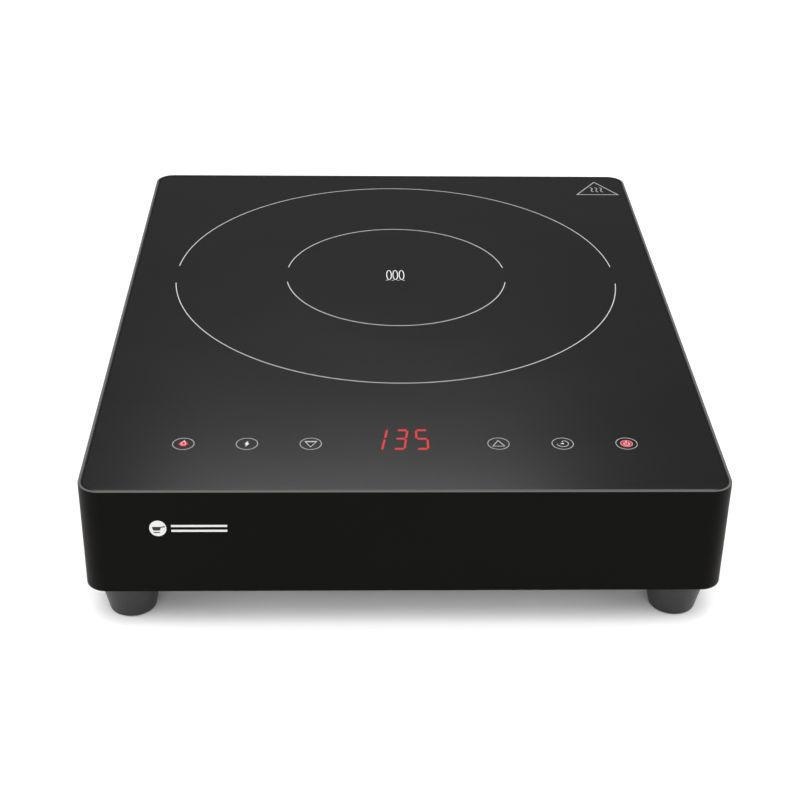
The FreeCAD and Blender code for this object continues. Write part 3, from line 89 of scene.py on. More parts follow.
# ------------------------------------------------------------------ materials
class Surface:
    """A Principled material, with helpers that add procedural detail at its real scale."""

    def __init__(self, name, colour, roughness, metallic=0.0, specular=0.5):
        self.material = bpy.data.materials.new(name)
        self.material.use_nodes = True
        tree = self.material.node_tree
        self.nodes = tree.nodes
        self.links = tree.links
        self.shader = self.nodes["Principled BSDF"]
        self.shader.inputs["Base Color"].default_value = (*colour, 1)
        self.shader.inputs["Roughness"].default_value = roughness
        self.shader.inputs["Metallic"].default_value = metallic
        self.shader.inputs["Specular IOR Level"].default_value = specular
        self.colour = (*colour, 1)
        self.place = self.nodes.new("ShaderNodeTexCoord").outputs["Object"]
        self.height = None

    def stretched(self, x, y, z):
        """The place, with each axis scaled, for grain that runs one way."""
        node = self.nodes.new("ShaderNodeMapping")
        node.inputs["Scale"].default_value = (x, y, z)
        self.links.new(self.place, node.inputs["Vector"])
        return node.outputs["Vector"]

    def noise(self, feature, detail=4.0, place=None):
        """Noise whose blotches are about the feature's size, in metres."""
        node = self.nodes.new("ShaderNodeTexNoise")
        node.inputs["Scale"].default_value = 1 / feature
        node.inputs["Detail"].default_value = detail
        self.links.new(place or self.place, node.inputs["Vector"])
        return node.outputs["Fac"]

    def cells(self, feature):
        """Distance from the middle of cells of about that size."""
        node = self.nodes.new("ShaderNodeTexVoronoi")
        node.inputs["Scale"].default_value = 1 / feature
        self.links.new(self.place, node.inputs["Vector"])
        return node.outputs["Distance"]

    def waves(self, feature, direction, distortion=0.0):
        node = self.nodes.new("ShaderNodeTexWave")
        node.bands_direction = direction
        node.inputs["Scale"].default_value = 1 / feature
        node.inputs["Distortion"].default_value = distortion
        self.links.new(self.place, node.inputs["Vector"])
        return node.outputs["Fac"]

    def ramp(self, value, low, high, out_low=0.0, out_high=1.0):
        node = self.nodes.new("ShaderNodeMapRange")
        node.inputs["From Min"].default_value = low
        node.inputs["From Max"].default_value = high
        node.inputs["To Min"].default_value = out_low
        node.inputs["To Max"].default_value = out_high
        self.links.new(value, node.inputs["Value"])
        return node.outputs["Result"]

    def product(self, first, second):
        node = self.nodes.new("ShaderNodeMath")
        node.operation = "MULTIPLY"
        self.links.new(first, node.inputs[0])
        self.links.new(second, node.inputs[1])
        return node.outputs["Value"]

    def edges(self, radius):
        """One at a convex or concave edge, nought on the flats."""
        bevel = self.nodes.new("ShaderNodeBevel")
        bevel.samples = 4
        bevel.inputs["Radius"].default_value = radius
        geometry = self.nodes.new("ShaderNodeNewGeometry")
        dot = self.nodes.new("ShaderNodeVectorMath")
        dot.operation = "DOT_PRODUCT"
        self.links.new(bevel.outputs["Normal"], dot.inputs[0])
        self.links.new(geometry.outputs["Normal"], dot.inputs[1])
        return self.ramp(dot.outputs["Value"], EDGE_START, EDGE_FULL)

    def above(self, level, span):
        """One above a height in the object's frame, nought below it."""
        split = self.nodes.new("ShaderNodeSeparateXYZ")
        self.links.new(self.place, split.inputs["Vector"])
        return self.ramp(split.outputs["Z"], level - span / 2, level + span / 2)

    def tint(self, mask, colour):
        """Mixes another colour in where the mask is one."""
        mix = self.nodes.new("ShaderNodeMix")
        mix.data_type = "RGBA"
        self.links.new(mask, mix.inputs["Factor"])
        target = self.shader.inputs["Base Color"]
        if target.is_linked:
            self.links.new(target.links[0].from_socket, mix.inputs["A"])
        else:
            mix.inputs["A"].default_value = self.colour
        mix.inputs["B"].default_value = (*colour, 1)
        self.links.new(mix.outputs["Result"], target)

    def roughen(self, value, low, high):
        """Roughness that runs from low to high with a value of nought to one."""
        self.links.new(self.ramp(value, 0.3, 0.7, low, high), self.shader.inputs["Roughness"])

    def bump(self, value, depth):
        """Adds relief of that depth, in metres."""
        node = self.nodes.new("ShaderNodeBump")
        node.inputs["Distance"].default_value = depth
        self.links.new(value, node.inputs["Height"])
        if self.height is not None:
            self.links.new(self.height, node.inputs["Normal"])
        self.height = node.outputs["Normal"]
        self.links.new(self.height, self.shader.inputs["Normal"])


def lighter(colour, factor):
    return tuple(min(1.0, channel * factor) for channel in colour)


def powder_coat(name, colour, roughness=0.5, specular=0.3, sheen=0.0, rim_level=None):
    """Matt powder coat: a fine pebble, faint clouds, and wear where edges are rubbed."""
    s = Surface(name, colour, roughness, specular=specular)
    s.shader.inputs["Sheen Weight"].default_value = sheen
    s.shader.inputs["Sheen Roughness"].default_value = 0.4
    s.shader.inputs["Sheen Tint"].default_value = (1.0, 0.93, 0.83, 1)
    s.tint(s.ramp(s.noise(60 * MM, 3), 0.35, 0.75, 0, 0.35), lighter(colour, 1.35))
    s.tint(s.ramp(s.noise(0.9 * MM, 2), 0.45, 0.7, 0, 0.25), lighter(colour, 1.5))
    s.tint(s.product(s.edges(0.5 * MM), s.ramp(s.noise(2.5 * MM), 0.35, 0.6)), lighter(colour, 3.0))
    if rim_level is not None:
        s.tint(s.ramp(s.above(rim_level, RIM_BLEND), 0, 1, 0, 0.95), RIM_COLOUR)
    s.roughen(s.noise(4 * MM), roughness - 0.06, roughness + 0.06)
    s.bump(s.noise(0.7 * MM, 3), 0.02 * MM)
    return s.material


def ceramic_glass(name):
    """Black ceramic glass: nearly flat, with faint wipe marks that only change its gloss."""
    s = Surface(name, GLASS_COLOUR, 0.2, specular=0.5)
    wipes = s.noise(45 * MM, 1.5, s.stretched(0.5, 1.0, 1.0))
    s.links.new(s.ramp(wipes, 0.0, 1.0, 0.185, 0.225), s.shader.inputs["Roughness"])
    s.tint(s.ramp(s.noise(1.2 * MM, 1), 0.72, 0.80, 0, 0.3), lighter(GLASS_COLOUR, 2.0))
    # painted highlight: every edge of the glass is made lighter, as if its chamfer caught the light
    s.tint(s.edges(0.4 * MM), GLASS_EDGE_HIGHLIGHT)
    s.bump(s.noise(40 * MM, 0), 0.004 * MM)
    return s.material


def rubber(name, colour, roughness=0.75):
    s = Surface(name, colour, roughness, specular=0.3)
    s.tint(s.ramp(s.noise(3 * MM), 0.4, 0.7, 0, 0.5), lighter(colour, 1.8))
    s.roughen(s.noise(1.5 * MM), roughness - 0.1, roughness + 0.1)
    s.bump(s.noise(0.35 * MM), 0.03 * MM)
    return s.material


def moulded(name, colour, roughness=0.5, grain=0.5 * MM, specular=0.4):
    """Injection-moulded plastic with a spark-eroded grain and slightly rubbed edges."""
    s = Surface(name, colour, roughness, specular=specular)
    s.tint(s.ramp(s.noise(14 * MM), 0.35, 0.7, 0, 0.3), lighter(colour, 1.25))
    s.tint(s.product(s.edges(0.35 * MM), s.ramp(s.noise(1.6 * MM), 0.4, 0.6)), lighter(colour, 1.9))
    s.roughen(s.noise(5 * MM), roughness - 0.07, roughness + 0.07)
    s.bump(s.cells(grain), 0.015 * MM)
    return s.material


def metal(name, colour, roughness=0.35, grain=(1, 1, 12), feature=1.5 * MM):
    """Metal with a drawn or brushed grain and a few dull patches."""
    s = Surface(name, colour, roughness, metallic=1.0)
    brushed = s.noise(feature, 6, s.stretched(*grain))
    s.tint(s.ramp(s.noise(7 * MM), 0.5, 0.8, 0, 0.4), lighter(colour, 0.7))
    s.roughen(brushed, roughness - 0.1, roughness + 0.14)
    s.bump(brushed, 0.01 * MM)
    return s.material


def circuit_board(name):
    """Green solder mask over copper tracks, with small round pads."""
    s = Surface(name, (0.012, 0.11, 0.045), 0.32)
    tracks = s.waves(14 * MM, "DIAGONAL", 3.0)
    s.tint(s.ramp(tracks, 0.72, 0.78, 0, 0.8), (0.03, 0.2, 0.08))
    s.tint(s.ramp(s.cells(3.2 * MM), 0.16, 0.12), (0.62, 0.6, 0.55))
    s.roughen(s.noise(6 * MM), 0.26, 0.38)
    s.bump(tracks, 0.03 * MM)
    return s.material


def litz(name):
    """A bundle of twisted enamelled copper strands."""
    s = Surface(name, (0.72, 0.3, 0.13), 0.36, metallic=0.85)
    strands = s.waves(1.1 * MM, "DIAGONAL", 1.5)
    # painted shade: darker in the grooves between the strands, where the relief is lowest
    s.tint(s.ramp(strands, 0.15, 0.5, 0.75, 0), (0.25, 0.08, 0.03))
    s.roughen(s.noise(2 * MM), 0.28, 0.45)
    s.bump(strands, 0.12 * MM)
    return s.material


def cast_case(name, colour):
    """The glossy resin case of a film capacitor."""
    s = Surface(name, colour, 0.28, specular=0.5)
    s.tint(s.ramp(s.noise(5 * MM), 0.4, 0.75, 0, 0.3), lighter(colour, 1.3))
    s.roughen(s.noise(3 * MM), 0.2, 0.36)
    s.bump(s.noise(1.8 * MM), 0.03 * MM)
    return s.material


def ferrite(name):
    s = Surface(name, (0.045, 0.045, 0.05), 0.6, specular=0.35)
    s.tint(s.ramp(s.cells(0.8 * MM), 0.1, 0.5, 0.4, 0), (0.09, 0.09, 0.095))
    s.roughen(s.noise(3 * MM), 0.5, 0.72)
    s.bump(s.noise(0.5 * MM), 0.05 * MM)
    return s.material


def mica(name):
    s = Surface(name, (0.27, 0.245, 0.2), 0.45)
    s.tint(s.ramp(s.cells(4 * MM), 0.2, 0.6, 0, 0.7), (0.4, 0.37, 0.31))
    s.roughen(s.noise(6 * MM), 0.3, 0.6)
    s.bump(s.cells(2.5 * MM), 0.04 * MM)
    return s.material


def striped_wire(name, colour, stripe):
    """Two-coloured insulation, the second colour in a band along the lead."""
    s = Surface(name, colour, 0.38)
    s.tint(s.ramp(s.waves(7 * MM, "DIAGONAL"), 0.45, 0.55), stripe)
    s.roughen(s.noise(2 * MM), 0.32, 0.45)
    s.bump(s.noise(0.8 * MM), 0.02 * MM)
    return s.material


def screen_ink(name, colour):
    """Fired ceramic ink, slightly grainy."""
    s = Surface(name, colour, 0.5, specular=0.3)
    s.tint(s.ramp(s.noise(0.5 * MM), 0.45, 0.7, 0, 0.35), lighter(colour, 0.72))
    s.roughen(s.noise(0.4 * MM), 0.42, 0.58)
    s.bump(s.noise(0.25 * MM), 0.01 * MM)
    return s.material


def lit(name, colour, strength):
    """Light that comes through the glass, a little uneven."""
    s = Surface(name, lighter(colour, 0.03), 0.4, specular=0.1)
    s.shader.inputs["Emission Strength"].default_value = strength
    mix = s.nodes.new("ShaderNodeMix")
    mix.data_type = "RGBA"
    s.links.new(s.ramp(s.noise(1.1 * MM), 0.35, 0.7), mix.inputs["Factor"])
    mix.inputs["A"].default_value = (*lighter(colour, 0.86), 1)
    mix.inputs["B"].default_value = (*colour, 1)
    s.links.new(mix.outputs["Result"], s.shader.inputs["Emission Color"])
    s.bump(s.noise(0.3 * MM), 0.005 * MM)
    return s.material


BUILDERS = {
    "housing_black": lambda n: powder_coat(n, (0.0023, 0.0023, 0.0018), 0.5, 0.02, 0.075,
                                           BODY_HIGH.z - RIM_DEPTH),
    "glass_black": ceramic_glass,
    "silicone_black": lambda n: rubber(n, (0.006, 0.006, 0.006), 0.6),
    "base_grey": lambda n: powder_coat(n, (0.045, 0.045, 0.047), 0.45, 0.35),
    "foot_grey": lambda n: moulded(n, (0.0145, 0.0145, 0.0145), 0.46, 0.8 * MM, 0.27),
    "pad_black": lambda n: rubber(n, (0.01, 0.01, 0.01)),
    "steel_zinc": lambda n: metal(n, (0.62, 0.62, 0.6), 0.32),
    "gland_black": lambda n: moulded(n, (0.018, 0.018, 0.018), 0.42),
    "gland_rubber": lambda n: rubber(n, (0.02, 0.02, 0.02)),
    "terminal_white": lambda n: moulded(n, (0.7, 0.69, 0.64), 0.45),
    "brass_plain": lambda n: metal(n, (0.78, 0.56, 0.25), 0.28),
    "lead_brown": lambda n: striped_wire(n, (0.16, 0.06, 0.025), (0.19, 0.075, 0.03)),
    "lead_blue": lambda n: striped_wire(n, (0.02, 0.09, 0.42), (0.03, 0.11, 0.5)),
    "lead_green": lambda n: striped_wire(n, (0.06, 0.36, 0.05), (0.8, 0.62, 0.04)),
    "board_green": circuit_board,
    "sink_aluminium": lambda n: metal(n, (0.75, 0.76, 0.77), 0.38, (1, 0.06, 1)),
    "device_black": lambda n: moulded(n, (0.016, 0.016, 0.018), 0.48),
    "film_blue": lambda n: cast_case(n, (0.03, 0.12, 0.36)),
    "film_white": lambda n: cast_case(n, (0.62, 0.62, 0.6)),
    "film_yellow": lambda n: cast_case(n, (0.72, 0.46, 0.04)),
    "can_sleeve": lambda n: cast_case(n, (0.02, 0.02, 0.05)),
    "ferrite_dark": ferrite,
    "copper_litz": litz,
    "mica_grey": mica,
    "carrier_plastic": lambda n: moulded(n, (0.06, 0.06, 0.065), 0.55),
    "spring_steel": lambda n: metal(n, (0.5, 0.5, 0.5), 0.25),
    "fan_black": lambda n: moulded(n, (0.02, 0.02, 0.022), 0.4),
    "duct_grey": lambda n: moulded(n, (0.13, 0.13, 0.14), 0.5),
    "bracket_zinc": lambda n: metal(n, (0.6, 0.61, 0.62), 0.4, (1, 1, 1), 9 * MM),
    "sensor_ceramic": lambda n: cast_case(n, (0.75, 0.74, 0.7)),
    "bead_silicone": lambda n: rubber(n, (0.3, 0.3, 0.3)),
    "fuse_glass": lambda n: cast_case(n, (0.66, 0.67, 0.65)),
    "display_black": lambda n: cast_case(n, (0.02, 0.012, 0.012)),
    "ribbon_grey": lambda n: striped_wire(n, (0.5, 0.5, 0.52), (0.4, 0.4, 0.42)),
    "socket_white": lambda n: moulded(n, (0.78, 0.77, 0.72), 0.4),
}


def dress_cad_nodes():
    """Gives every CAD node the material of its slot."""
    made = {}
    for name, slot in SLOTS.items():
        if slot not in made:
            made[slot] = BUILDERS[slot](slot)
        for place in NODES[name].material_slots:
            place.material = made[slot]


def make_flexing_pieces():
    """Copies of the springs and leads that cross a joint, put in place of the originals, which are hidden."""
    for joint in frame["joints"]:
        for entry in joint.get("deforming_nodes", []):
            name = entry["node"]
            piece = bpy.data.objects.new(f"{name}_flexing", NODES[name].data.copy())
            bpy.context.scene.collection.objects.link(piece)
            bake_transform(piece)
            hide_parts(name)


# ------------------------------------------------------------------ flat printed shapes
class Print:
    """Thin closed plates on one plane, gathered into one piece."""

    def __init__(self, name, material, origin, across=Vector((1, 0, 0)), up=Vector((0, 1, 0))):
        self.name = name
        self.material = material
        self.origin = origin
        self.across = across
        self.up = up
        self.out = across.cross(up)
        self.mesh = bmesh.new()

    def corner(self, x, y, height):
        spot = self.origin + self.across * x + self.up * y + self.out * height
        return self.mesh.verts.new(spot)

    def prism(self, rows):
        """A closed strip through pairs of left and right points; it joins up if the ends meet."""
        closed = (Vector(rows[0][0]) - Vector(rows[-1][0])).length < SAME_POINT
        if closed:
            rows = rows[:-1]
        loops = []
        for left, right in rows:
            loops.append((self.corner(*left, INK_PROUD), self.corner(*right, INK_PROUD),
                          self.corner(*right, -INK_SUNK), self.corner(*left, -INK_SUNK)))
        count = len(loops) if closed else len(loops) - 1
        for i in range(count):
            here, there = loops[i], loops[(i + 1) % len(loops)]
            for side in range(4):
                after = (side + 1) % 4
                self.mesh.faces.new((here[side], there[side], there[after], here[after]))
        if not closed:
            self.mesh.faces.new(loops[0])
            self.mesh.faces.new(tuple(reversed(loops[-1])))

    def stroke(self, points, width, closed=False):
        """A line of even width with mitred corners."""
        path = [Vector(point) for point in points]
        count = len(path)
        rows = []
        for i, here in enumerate(path):
            before = path[i - 1] if closed or i > 0 else None
            after = path[(i + 1) % count] if closed or i < count - 1 else None
            arriving = (here - before).normalized() if before is not None else None
            leaving = (after - here).normalized() if after is not None else None
            arriving = arriving if arriving is not None else leaving
            leaving = leaving if leaving is not None else arriving
            along = (arriving + leaving).normalized()
            side = Vector((-along.y, along.x))
            reach = width / 2 / max(0.35, side.dot(Vector((-leaving.y, leaving.x))))
            rows.append((tuple(here + side * reach), tuple(here - side * reach)))
        if closed:
            rows.append(rows[0])
        self.prism(rows)

    def plate(self, points):
        """A filled outline, given anticlockwise."""
        top = [self.corner(x, y, INK_PROUD) for x, y in points]
        low = [self.corner(x, y, -INK_SUNK) for x, y in points]
        self.mesh.faces.new(top)
        self.mesh.faces.new(list(reversed(low)))
        for i in range(len(points)):
            after = (i + 1) % len(points)
            self.mesh.faces.new((top[i], low[i], low[after], top[after]))

    def finish(self, body="hob"):
        bmesh.ops.recalc_face_normals(self.mesh, faces=self.mesh.faces)
        bmesh.ops.triangulate(self.mesh, faces=[f for f in self.mesh.faces if len(f.verts) > 4])
        data = bpy.data.meshes.new(self.name)
        self.mesh.to_mesh(data)
        self.mesh.free()
        data.materials.append(self.material)
        piece = bpy.data.objects.new(self.name, data)
        bpy.context.scene.collection.objects.link(piece)
        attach(piece, body)


def arc(centre, radius, start, end, steps, squash=1.0):
    """Points round an arc, in degrees anticlockwise from +x."""
    x, y = centre
    turns = [math.radians(start + (end - start) * i / steps) for i in range(steps + 1)]
    return [(x + radius * math.cos(t), y + radius * squash * math.sin(t)) for t in turns]


def ring(centre, radius, steps=64):
    return arc(centre, radius, 0, 360, steps)[:-1]


# ------------------------------------------------------------------ marks on the glass
# name, radius, and half the height of the gap at each side
COOKING_RINGS = (
    ("cooking_ring_outer", 140 * MM, 12.3 * MM),
    ("cooking_ring_inner", 70 * MM, 10.6 * MM),
)
RING_STEP = 1.0 * MM
RING_LINE = 0.52 * MM
KEY_RING_RADIUS = 5.7 * MM
KEY_LINE = 0.21 * MM
ICON_LINE = 0.25 * MM


def on_glass(name, material, x, y):
    return Print(name, material, Vector((x, y, GLASS_TOP)))


def make_cooking_rings(ink):
    """Two circles, each in two arcs with a gap at the left and at the right."""
    for name, radius, gap in COOKING_RINGS:
        mark = on_glass(name, ink, RING_CENTRE.x, RING_CENTRE.y)
        half_gap = math.degrees(math.asin(gap / radius))
        steps = int(radius / RING_STEP)
        for start in (half_gap, 180 + half_gap):
            mark.stroke(arc((0, 0), radius, start, start + 180 - 2 * half_gap, steps), RING_LINE)
        mark.finish()


def make_coil_mark(ink):
    """Three tall loops side by side over a broken base line."""
    mark = on_glass("coil_mark", ink, RING_CENTRE.x - 0.5 * MM, RING_CENTRE.y - 0.9 * MM)
    pitch, half_width, half_height = 4.0 * MM, 1.5 * MM, 6.7 * MM
    loop_rise, loop_line = 0.5 * MM, 0.5 * MM
    dash_pitch, dash_reach, base, dash_line = 3.55 * MM, 0.75 * MM, -7.1 * MM, 0.35 * MM
    for step in (-1, 0, 1):
        loop = arc((step * pitch, loop_rise), half_width, 0, 360, 40, half_height / half_width)
        mark.stroke(loop[:-1], loop_line, closed=True)
    for step in range(4):
        x = (step - 1.5) * dash_pitch
        mark.stroke([(x - dash_reach, base), (x + dash_reach, base)], dash_line)
    mark.finish()


def make_heat_mark(ink):
    """A plain triangle with three wavy lines."""
    mark = on_glass("heat_mark", ink, GLASS_HIGH.x - 19.6 * MM, BODY_HIGH.y - 31.5 * MM)
    left, right, low, apex = -14.6 * MM, 14.6 * MM, -1.8 * MM, (0.2 * MM, 20.6 * MM)
    frame_line, wave_line = 0.85 * MM, 0.7 * MM
    wave_pitch, wave_shift, wave_low, wave_height = 3.3, 0.3, 2.9, 8.2
    wave_lean, wave_sway, wave_steps = 1.6, 0.85, 12
    mark.stroke([(left, low), (right, low), apex], frame_line, closed=True)
    for step in (-1, 0, 1):
        wave = []
        for i in range(wave_steps + 1):
            rise = i / wave_steps
            sway = wave_lean * (0.5 - rise) - wave_sway * math.sin(2 * math.pi * rise)
            x = step * wave_pitch + wave_shift + sway
            wave.append((x * MM, (wave_low + wave_height * rise) * MM))
        mark.stroke(wave, wave_line)
    mark.finish()


def key_triangle(mark, direction, barred):
    """An outline that points towards +y or -y, with a second bar along its flat side or none."""
    flat, tip, reach = -2.5 * MM * direction, 3.2 * MM * direction, 3.2 * MM
    bar_reach, bar_offset, bar_line = 2.5 * MM, 0.6 * MM, 0.36 * MM
    corners = [(-reach, flat), (reach, flat), (0, tip)]
    if direction < 0:
        corners.reverse()
    mark.stroke(corners, ICON_LINE, closed=True)
    if barred:
        bar = flat + bar_offset * direction
        mark.stroke([(-bar_reach, bar), (bar_reach, bar)], bar_line)


def key_bolt(mark):
    """A filled lightning bolt."""
    outline = [(0.6, 2.9), (-1.4, -0.3), (-0.3, -0.2), (-0.8, -2.9), (1.4, 0.35), (0.3, 0.25)]
    mark.plate([(x * MM, y * MM) for x, y in outline])


def key_clock(mark):
    """An open circle with a hand and a tick."""
    mark.stroke(arc((0, 0), 3.1 * MM, 185, 440, 26), ICON_LINE)
    hand = [(-1.6, -0.1), (0.6, -0.6), (0.6, 0.6)]
    tick = [(-0.3, 1.5), (0.3, 1.5), (0.3, 2.3), (-0.3, 2.3)]
    for outline in (hand, tick):
        mark.plate([(x * MM, y * MM) for x, y in outline])


def key_flame(mark):
    """A drop-shaped outline."""
    outline = arc((0, 0.1 * MM), 1.25 * MM, 170, 370, 14)
    outline += [(0.9 * MM, 1.3 * MM), (0.25 * MM, 3.1 * MM), (-0.8 * MM, 1.5 * MM)]
    mark.stroke(outline, 0.62 * MM, closed=True)


def key_power(mark):
    """An open circle with a stroke in its gap, inside a thin ring."""
    mark.stroke(ring((0, 0), 3.2 * MM), 0.24 * MM, closed=True)
    mark.stroke(arc((0, -0.3 * MM), 1.5 * MM, 50, -230, 24), 0.62 * MM)
    mark.stroke([(0, 0.2 * MM), (0, 2.6 * MM)], 0.7 * MM)


def glow_patch(name, material, x, radius, lobes, depth):
    """The light behind a key, as a patch with a few lobes, one of them towards +y."""
    patch = on_glass(name, material, x, KEY_ROW_Y)
    patch.origin.z -= BACKING_DROP
    steps = 60
    outline = []
    for i in range(steps):
        turn = 2 * math.pi * i / steps
        reach = radius * (1 + depth * math.cos(lobes * (turn - math.pi / 2)))
        outline.append((reach * math.cos(turn), reach * math.sin(turn)))
    patch.plate(outline)
    patch.finish()


def make_keys(ink, red, white):
    """Six ringed touch keys; the first and the last are lit from below."""
    # place across the hob, name, icon, material
    icons = [
        (-117.7 * MM, "key_heat", key_flame, white),
        (-84.0 * MM, "key_boost", key_bolt, ink),
        (-50.1 * MM, "key_less", lambda mark: key_triangle(mark, -1, True), ink),
        (50.1 * MM, "key_more", lambda mark: key_triangle(mark, 1, False), ink),
        (84.5 * MM, "key_timer", key_clock, ink),
        (118.8 * MM, "key_power", key_power, white),
    ]
    for x, name, icon, material in icons:
        outline = on_glass(f"{name}_ring", ink, x, KEY_ROW_Y)
        outline.stroke(ring((0, 0), KEY_RING_RADIUS), KEY_LINE, closed=True)
        outline.finish()
        glyph = on_glass(f"{name}_icon", material, x, KEY_ROW_Y)
        icon(glyph)
        glyph.finish()
    glow_patch("key_heat_glow", red, icons[0][0], 2.45 * MM, 7, 0.13)
    glow_patch("key_power_glow", red, icons[-1][0], 3.4 * MM, 9, 0.03)


# ------------------------------------------------------------------ the display
SEGMENTS = {"1": "bc", "3": "abcdg", "5": "acdfg"}
SEGMENT_GAP = 0.45 * MM


def make_digits(red):
    """Three slanted seven-segment digits; each digit has its own slant."""
    height, bar, post = 18.9 * MM, 1.9 * MM, 1.2 * MM
    middle, split = 0.54, 0.02
    low = KEY_ROW_Y - 5.2 * MM
    # digit, left end, width, lean, stretch
    digits = (
        ("1", -17.6 * MM, 5.4 * MM, 3.1 * MM, 1.1),
        ("3", -5.9 * MM, 5.6 * MM, 2.1 * MM, 1.0),
        ("5", 6.4 * MM, 5.9 * MM, 0.0, 1.0),
    )
    for position, (digit, left, width, lean, stretch) in enumerate(digits):
        mark = on_glass(f"digit_{position + 1}", red, 0, low)

        def at(x, y):
            return (left + width * x + lean * y, height * (0.5 + (y - 0.5) * stretch))

        runs = {
            "a": (at(0, 1), at(1, 1), bar),
            "b": (at(1, middle + split), at(1, 1), post),
            "c": (at(1, 0), at(1, middle - split), post),
            "d": (at(0, 0), at(1, 0), bar),
            "f": (at(0, middle + split), at(0, 1), post),
            "g": (at(0, middle), at(1, middle), bar),
        }
        for letter in SEGMENTS[digit]:
            start, end, width_of_run = runs[letter]
            along = (Vector(end) - Vector(start)).normalized() * SEGMENT_GAP
            mark.stroke([Vector(start) + along, Vector(end) - along], width_of_run)
        mark.finish()


# ------------------------------------------------------------------ the badge on the front
BADGE_RECESS = 0.08 * MM


def make_front_badge(ink, cut_out):
    """A generic badge in its shallow recess: a disc with a pan cut out, and two plain bars."""
    place = Vector((-127.7 * MM, BODY_LOW.y + BADGE_RECESS, BODY_HIGH.z - 22.0 * MM))
    facing = (Vector((1, 0, 0)), Vector((0, 0, 1)))
    disc = Print("front_badge_disc", ink, place, *facing)
    disc.plate(arc((0, 0), 4.4 * MM, 0, 360, 48, 1.1)[:-1])
    disc.finish()
    pan = Print("front_badge_pan", cut_out, place - Vector((0, BACKING_DROP, 0)), *facing)
    bowl = [(-3.0, 1.0), (-2.6, -0.9), (-2.2, -1.3), (0.8, -1.3), (1.2, -0.9), (1.6, 1.0)]
    pan.plate([(x * MM, y * MM) for x, y in bowl])
    pan.stroke([(1.3 * MM, 0.7 * MM), (3.7 * MM, 1.1 * MM)], 0.7 * MM)
    pan.stroke([(-2.4 * MM, -2.5 * MM), (1.0 * MM, -2.5 * MM)], 0.6 * MM)
    pan.finish()
    bars = Print("front_badge_bars", ink, place, *facing)
    for level in (-1.5 * MM, 1.5 * MM):
        bars.stroke([(6.8 * MM, level), (35.5 * MM, level)], 1.3 * MM)
    bars.finish()


# ------------------------------------------------------------------ studio
FLOOR_HALF = 40.0
WORLD_STRENGTH = 0.15
OVERHEAD_STRENGTH = 4.25
OVERHEAD_SPREAD = 82
# name, place, target, width, depth, power
AREA_LIGHTS = (
    ("left_side", (-2.1, -0.3, 0.26), (0, -0.2, 0.06), 2.4, 0.46, 57),
    ("right_side", (2.1, -0.3, 0.26), (0, -0.2, 0.06), 2.4, 0.46, 52),
    ("glow", (-0.02, 2.3, 2.1), (0, -0.2, 0.08), 0.95, 0.35, 4.4),
    ("front_fill", (0, -2.6, 1.5), (0, -0.2, 0), 3.2, 1.8, 40),
)
CAMERA_PLACE = (-0.0278, -0.9082, 0.5457)
CAMERA_LENS = 73.58
CAMERA_SENSOR = 36
CAMERA_YAW = math.radians(1.923)
CAMERA_PITCH = math.radians(30.358)
CAMERA_ROLL = math.radians(0.979)


def make_floor():
    """A wide pale floor."""
    s = Surface("floor_paper", (0.82, 0.82, 0.82), 0.9, specular=0.0)
    s.tint(s.ramp(s.noise(0.6, 2), 0.3, 0.8, 0, 0.2), (0.8, 0.8, 0.8))
    data = bpy.data.meshes.new("floor")
    corners = [(x * FLOOR_HALF, y * FLOOR_HALF, 0) for x, y in ((-1, -1), (1, -1), (1, 1), (-1, 1))]
    data.from_pydata(corners, [], [(0, 1, 2, 3)])
    data.materials.append(s.material)
    floor = bpy.data.objects.new("floor", data)
    bpy.context.scene.collection.objects.link(floor)


def make_light(name, place, target, width, depth, power):
    data = bpy.data.lights.new(name, "AREA")
    data.shape = "RECTANGLE"
    data.size = width
    data.size_y = depth
    data.energy = power
    light = bpy.data.objects.new(name, data)
    light.location = place
    facing = (Vector(target) - Vector(place)).to_track_quat("-Z", "Y")
    light.rotation_euler = facing.to_euler()
    bpy.context.scene.collection.objects.link(light)


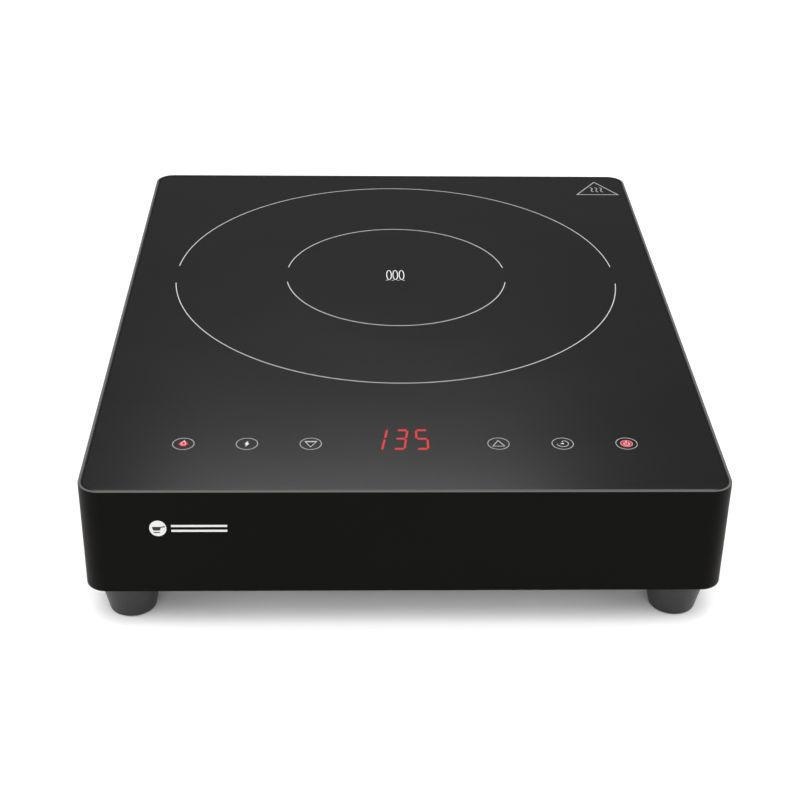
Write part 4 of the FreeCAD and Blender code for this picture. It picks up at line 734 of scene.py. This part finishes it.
def make_overhead():
    """A wide soft light from straight above that reaches the far floor too."""
    data = bpy.data.lights.new("overhead", "SUN")
    data.energy = OVERHEAD_STRENGTH
    data.angle = math.radians(OVERHEAD_SPREAD)
    light = bpy.data.objects.new("overhead", data)
    bpy.context.scene.collection.objects.link(light)


def make_studio():
    world = bpy.data.worlds.new("studio")
    world.use_nodes = True
    background = world.node_tree.nodes["Background"]
    background.inputs["Color"].default_value = (1, 1, 1, 1)
    background.inputs["Strength"].default_value = WORLD_STRENGTH
    bpy.context.scene.world = world
    make_overhead()
    for light in AREA_LIGHTS:
        make_light(*light)
    bpy.context.scene.view_settings.view_transform = "Standard"


def make_camera():
    """An unshifted camera that looks down at the hob from the front."""
    data = bpy.data.cameras.new("camera")
    data.sensor_width = CAMERA_SENSOR
    data.lens = CAMERA_LENS
    camera = bpy.data.objects.new("camera", data)
    turn = (Matrix.Rotation(-CAMERA_YAW, 4, "Z")
            @ Matrix.Rotation(math.pi / 2 - CAMERA_PITCH, 4, "X")
            @ Matrix.Rotation(CAMERA_ROLL, 4, "Z"))
    camera.matrix_world = Matrix.Translation(CAMERA_PLACE) @ turn
    bpy.context.scene.collection.objects.link(camera)
    bpy.context.scene.camera = camera


# ------------------------------------------------------------------ the scene
dress_cad_nodes()
make_flexing_pieces()
ring_ink = screen_ink("ring_ink", (0.45, 0.45, 0.45))
coil_ink = screen_ink("coil_ink", (0.66, 0.66, 0.66))
mark_ink = screen_ink("mark_ink", (0.26, 0.26, 0.26))
key_ink = screen_ink("key_ink", (0.55, 0.55, 0.55))
badge_ink = screen_ink("badge_ink", (0.5, 0.5, 0.5))
digit_red = lit("digit_red", (0.74, 0.055, 0.055), 1.0)
key_red = lit("key_red", (0.72, 0.015, 0.05), 1.0)
key_white = lit("key_white", (0.85, 0.72, 0.72), 0.9)
badge_dark = screen_ink("badge_dark", (0.006, 0.006, 0.005))

make_cooking_rings(ring_ink)
make_coil_mark(coil_ink)
make_heat_mark(mark_ink)
make_keys(key_ink, key_red, key_white)
make_digits(digit_red)
make_front_badge(badge_ink, badge_dark)
make_floor()
make_studio()
make_camera()
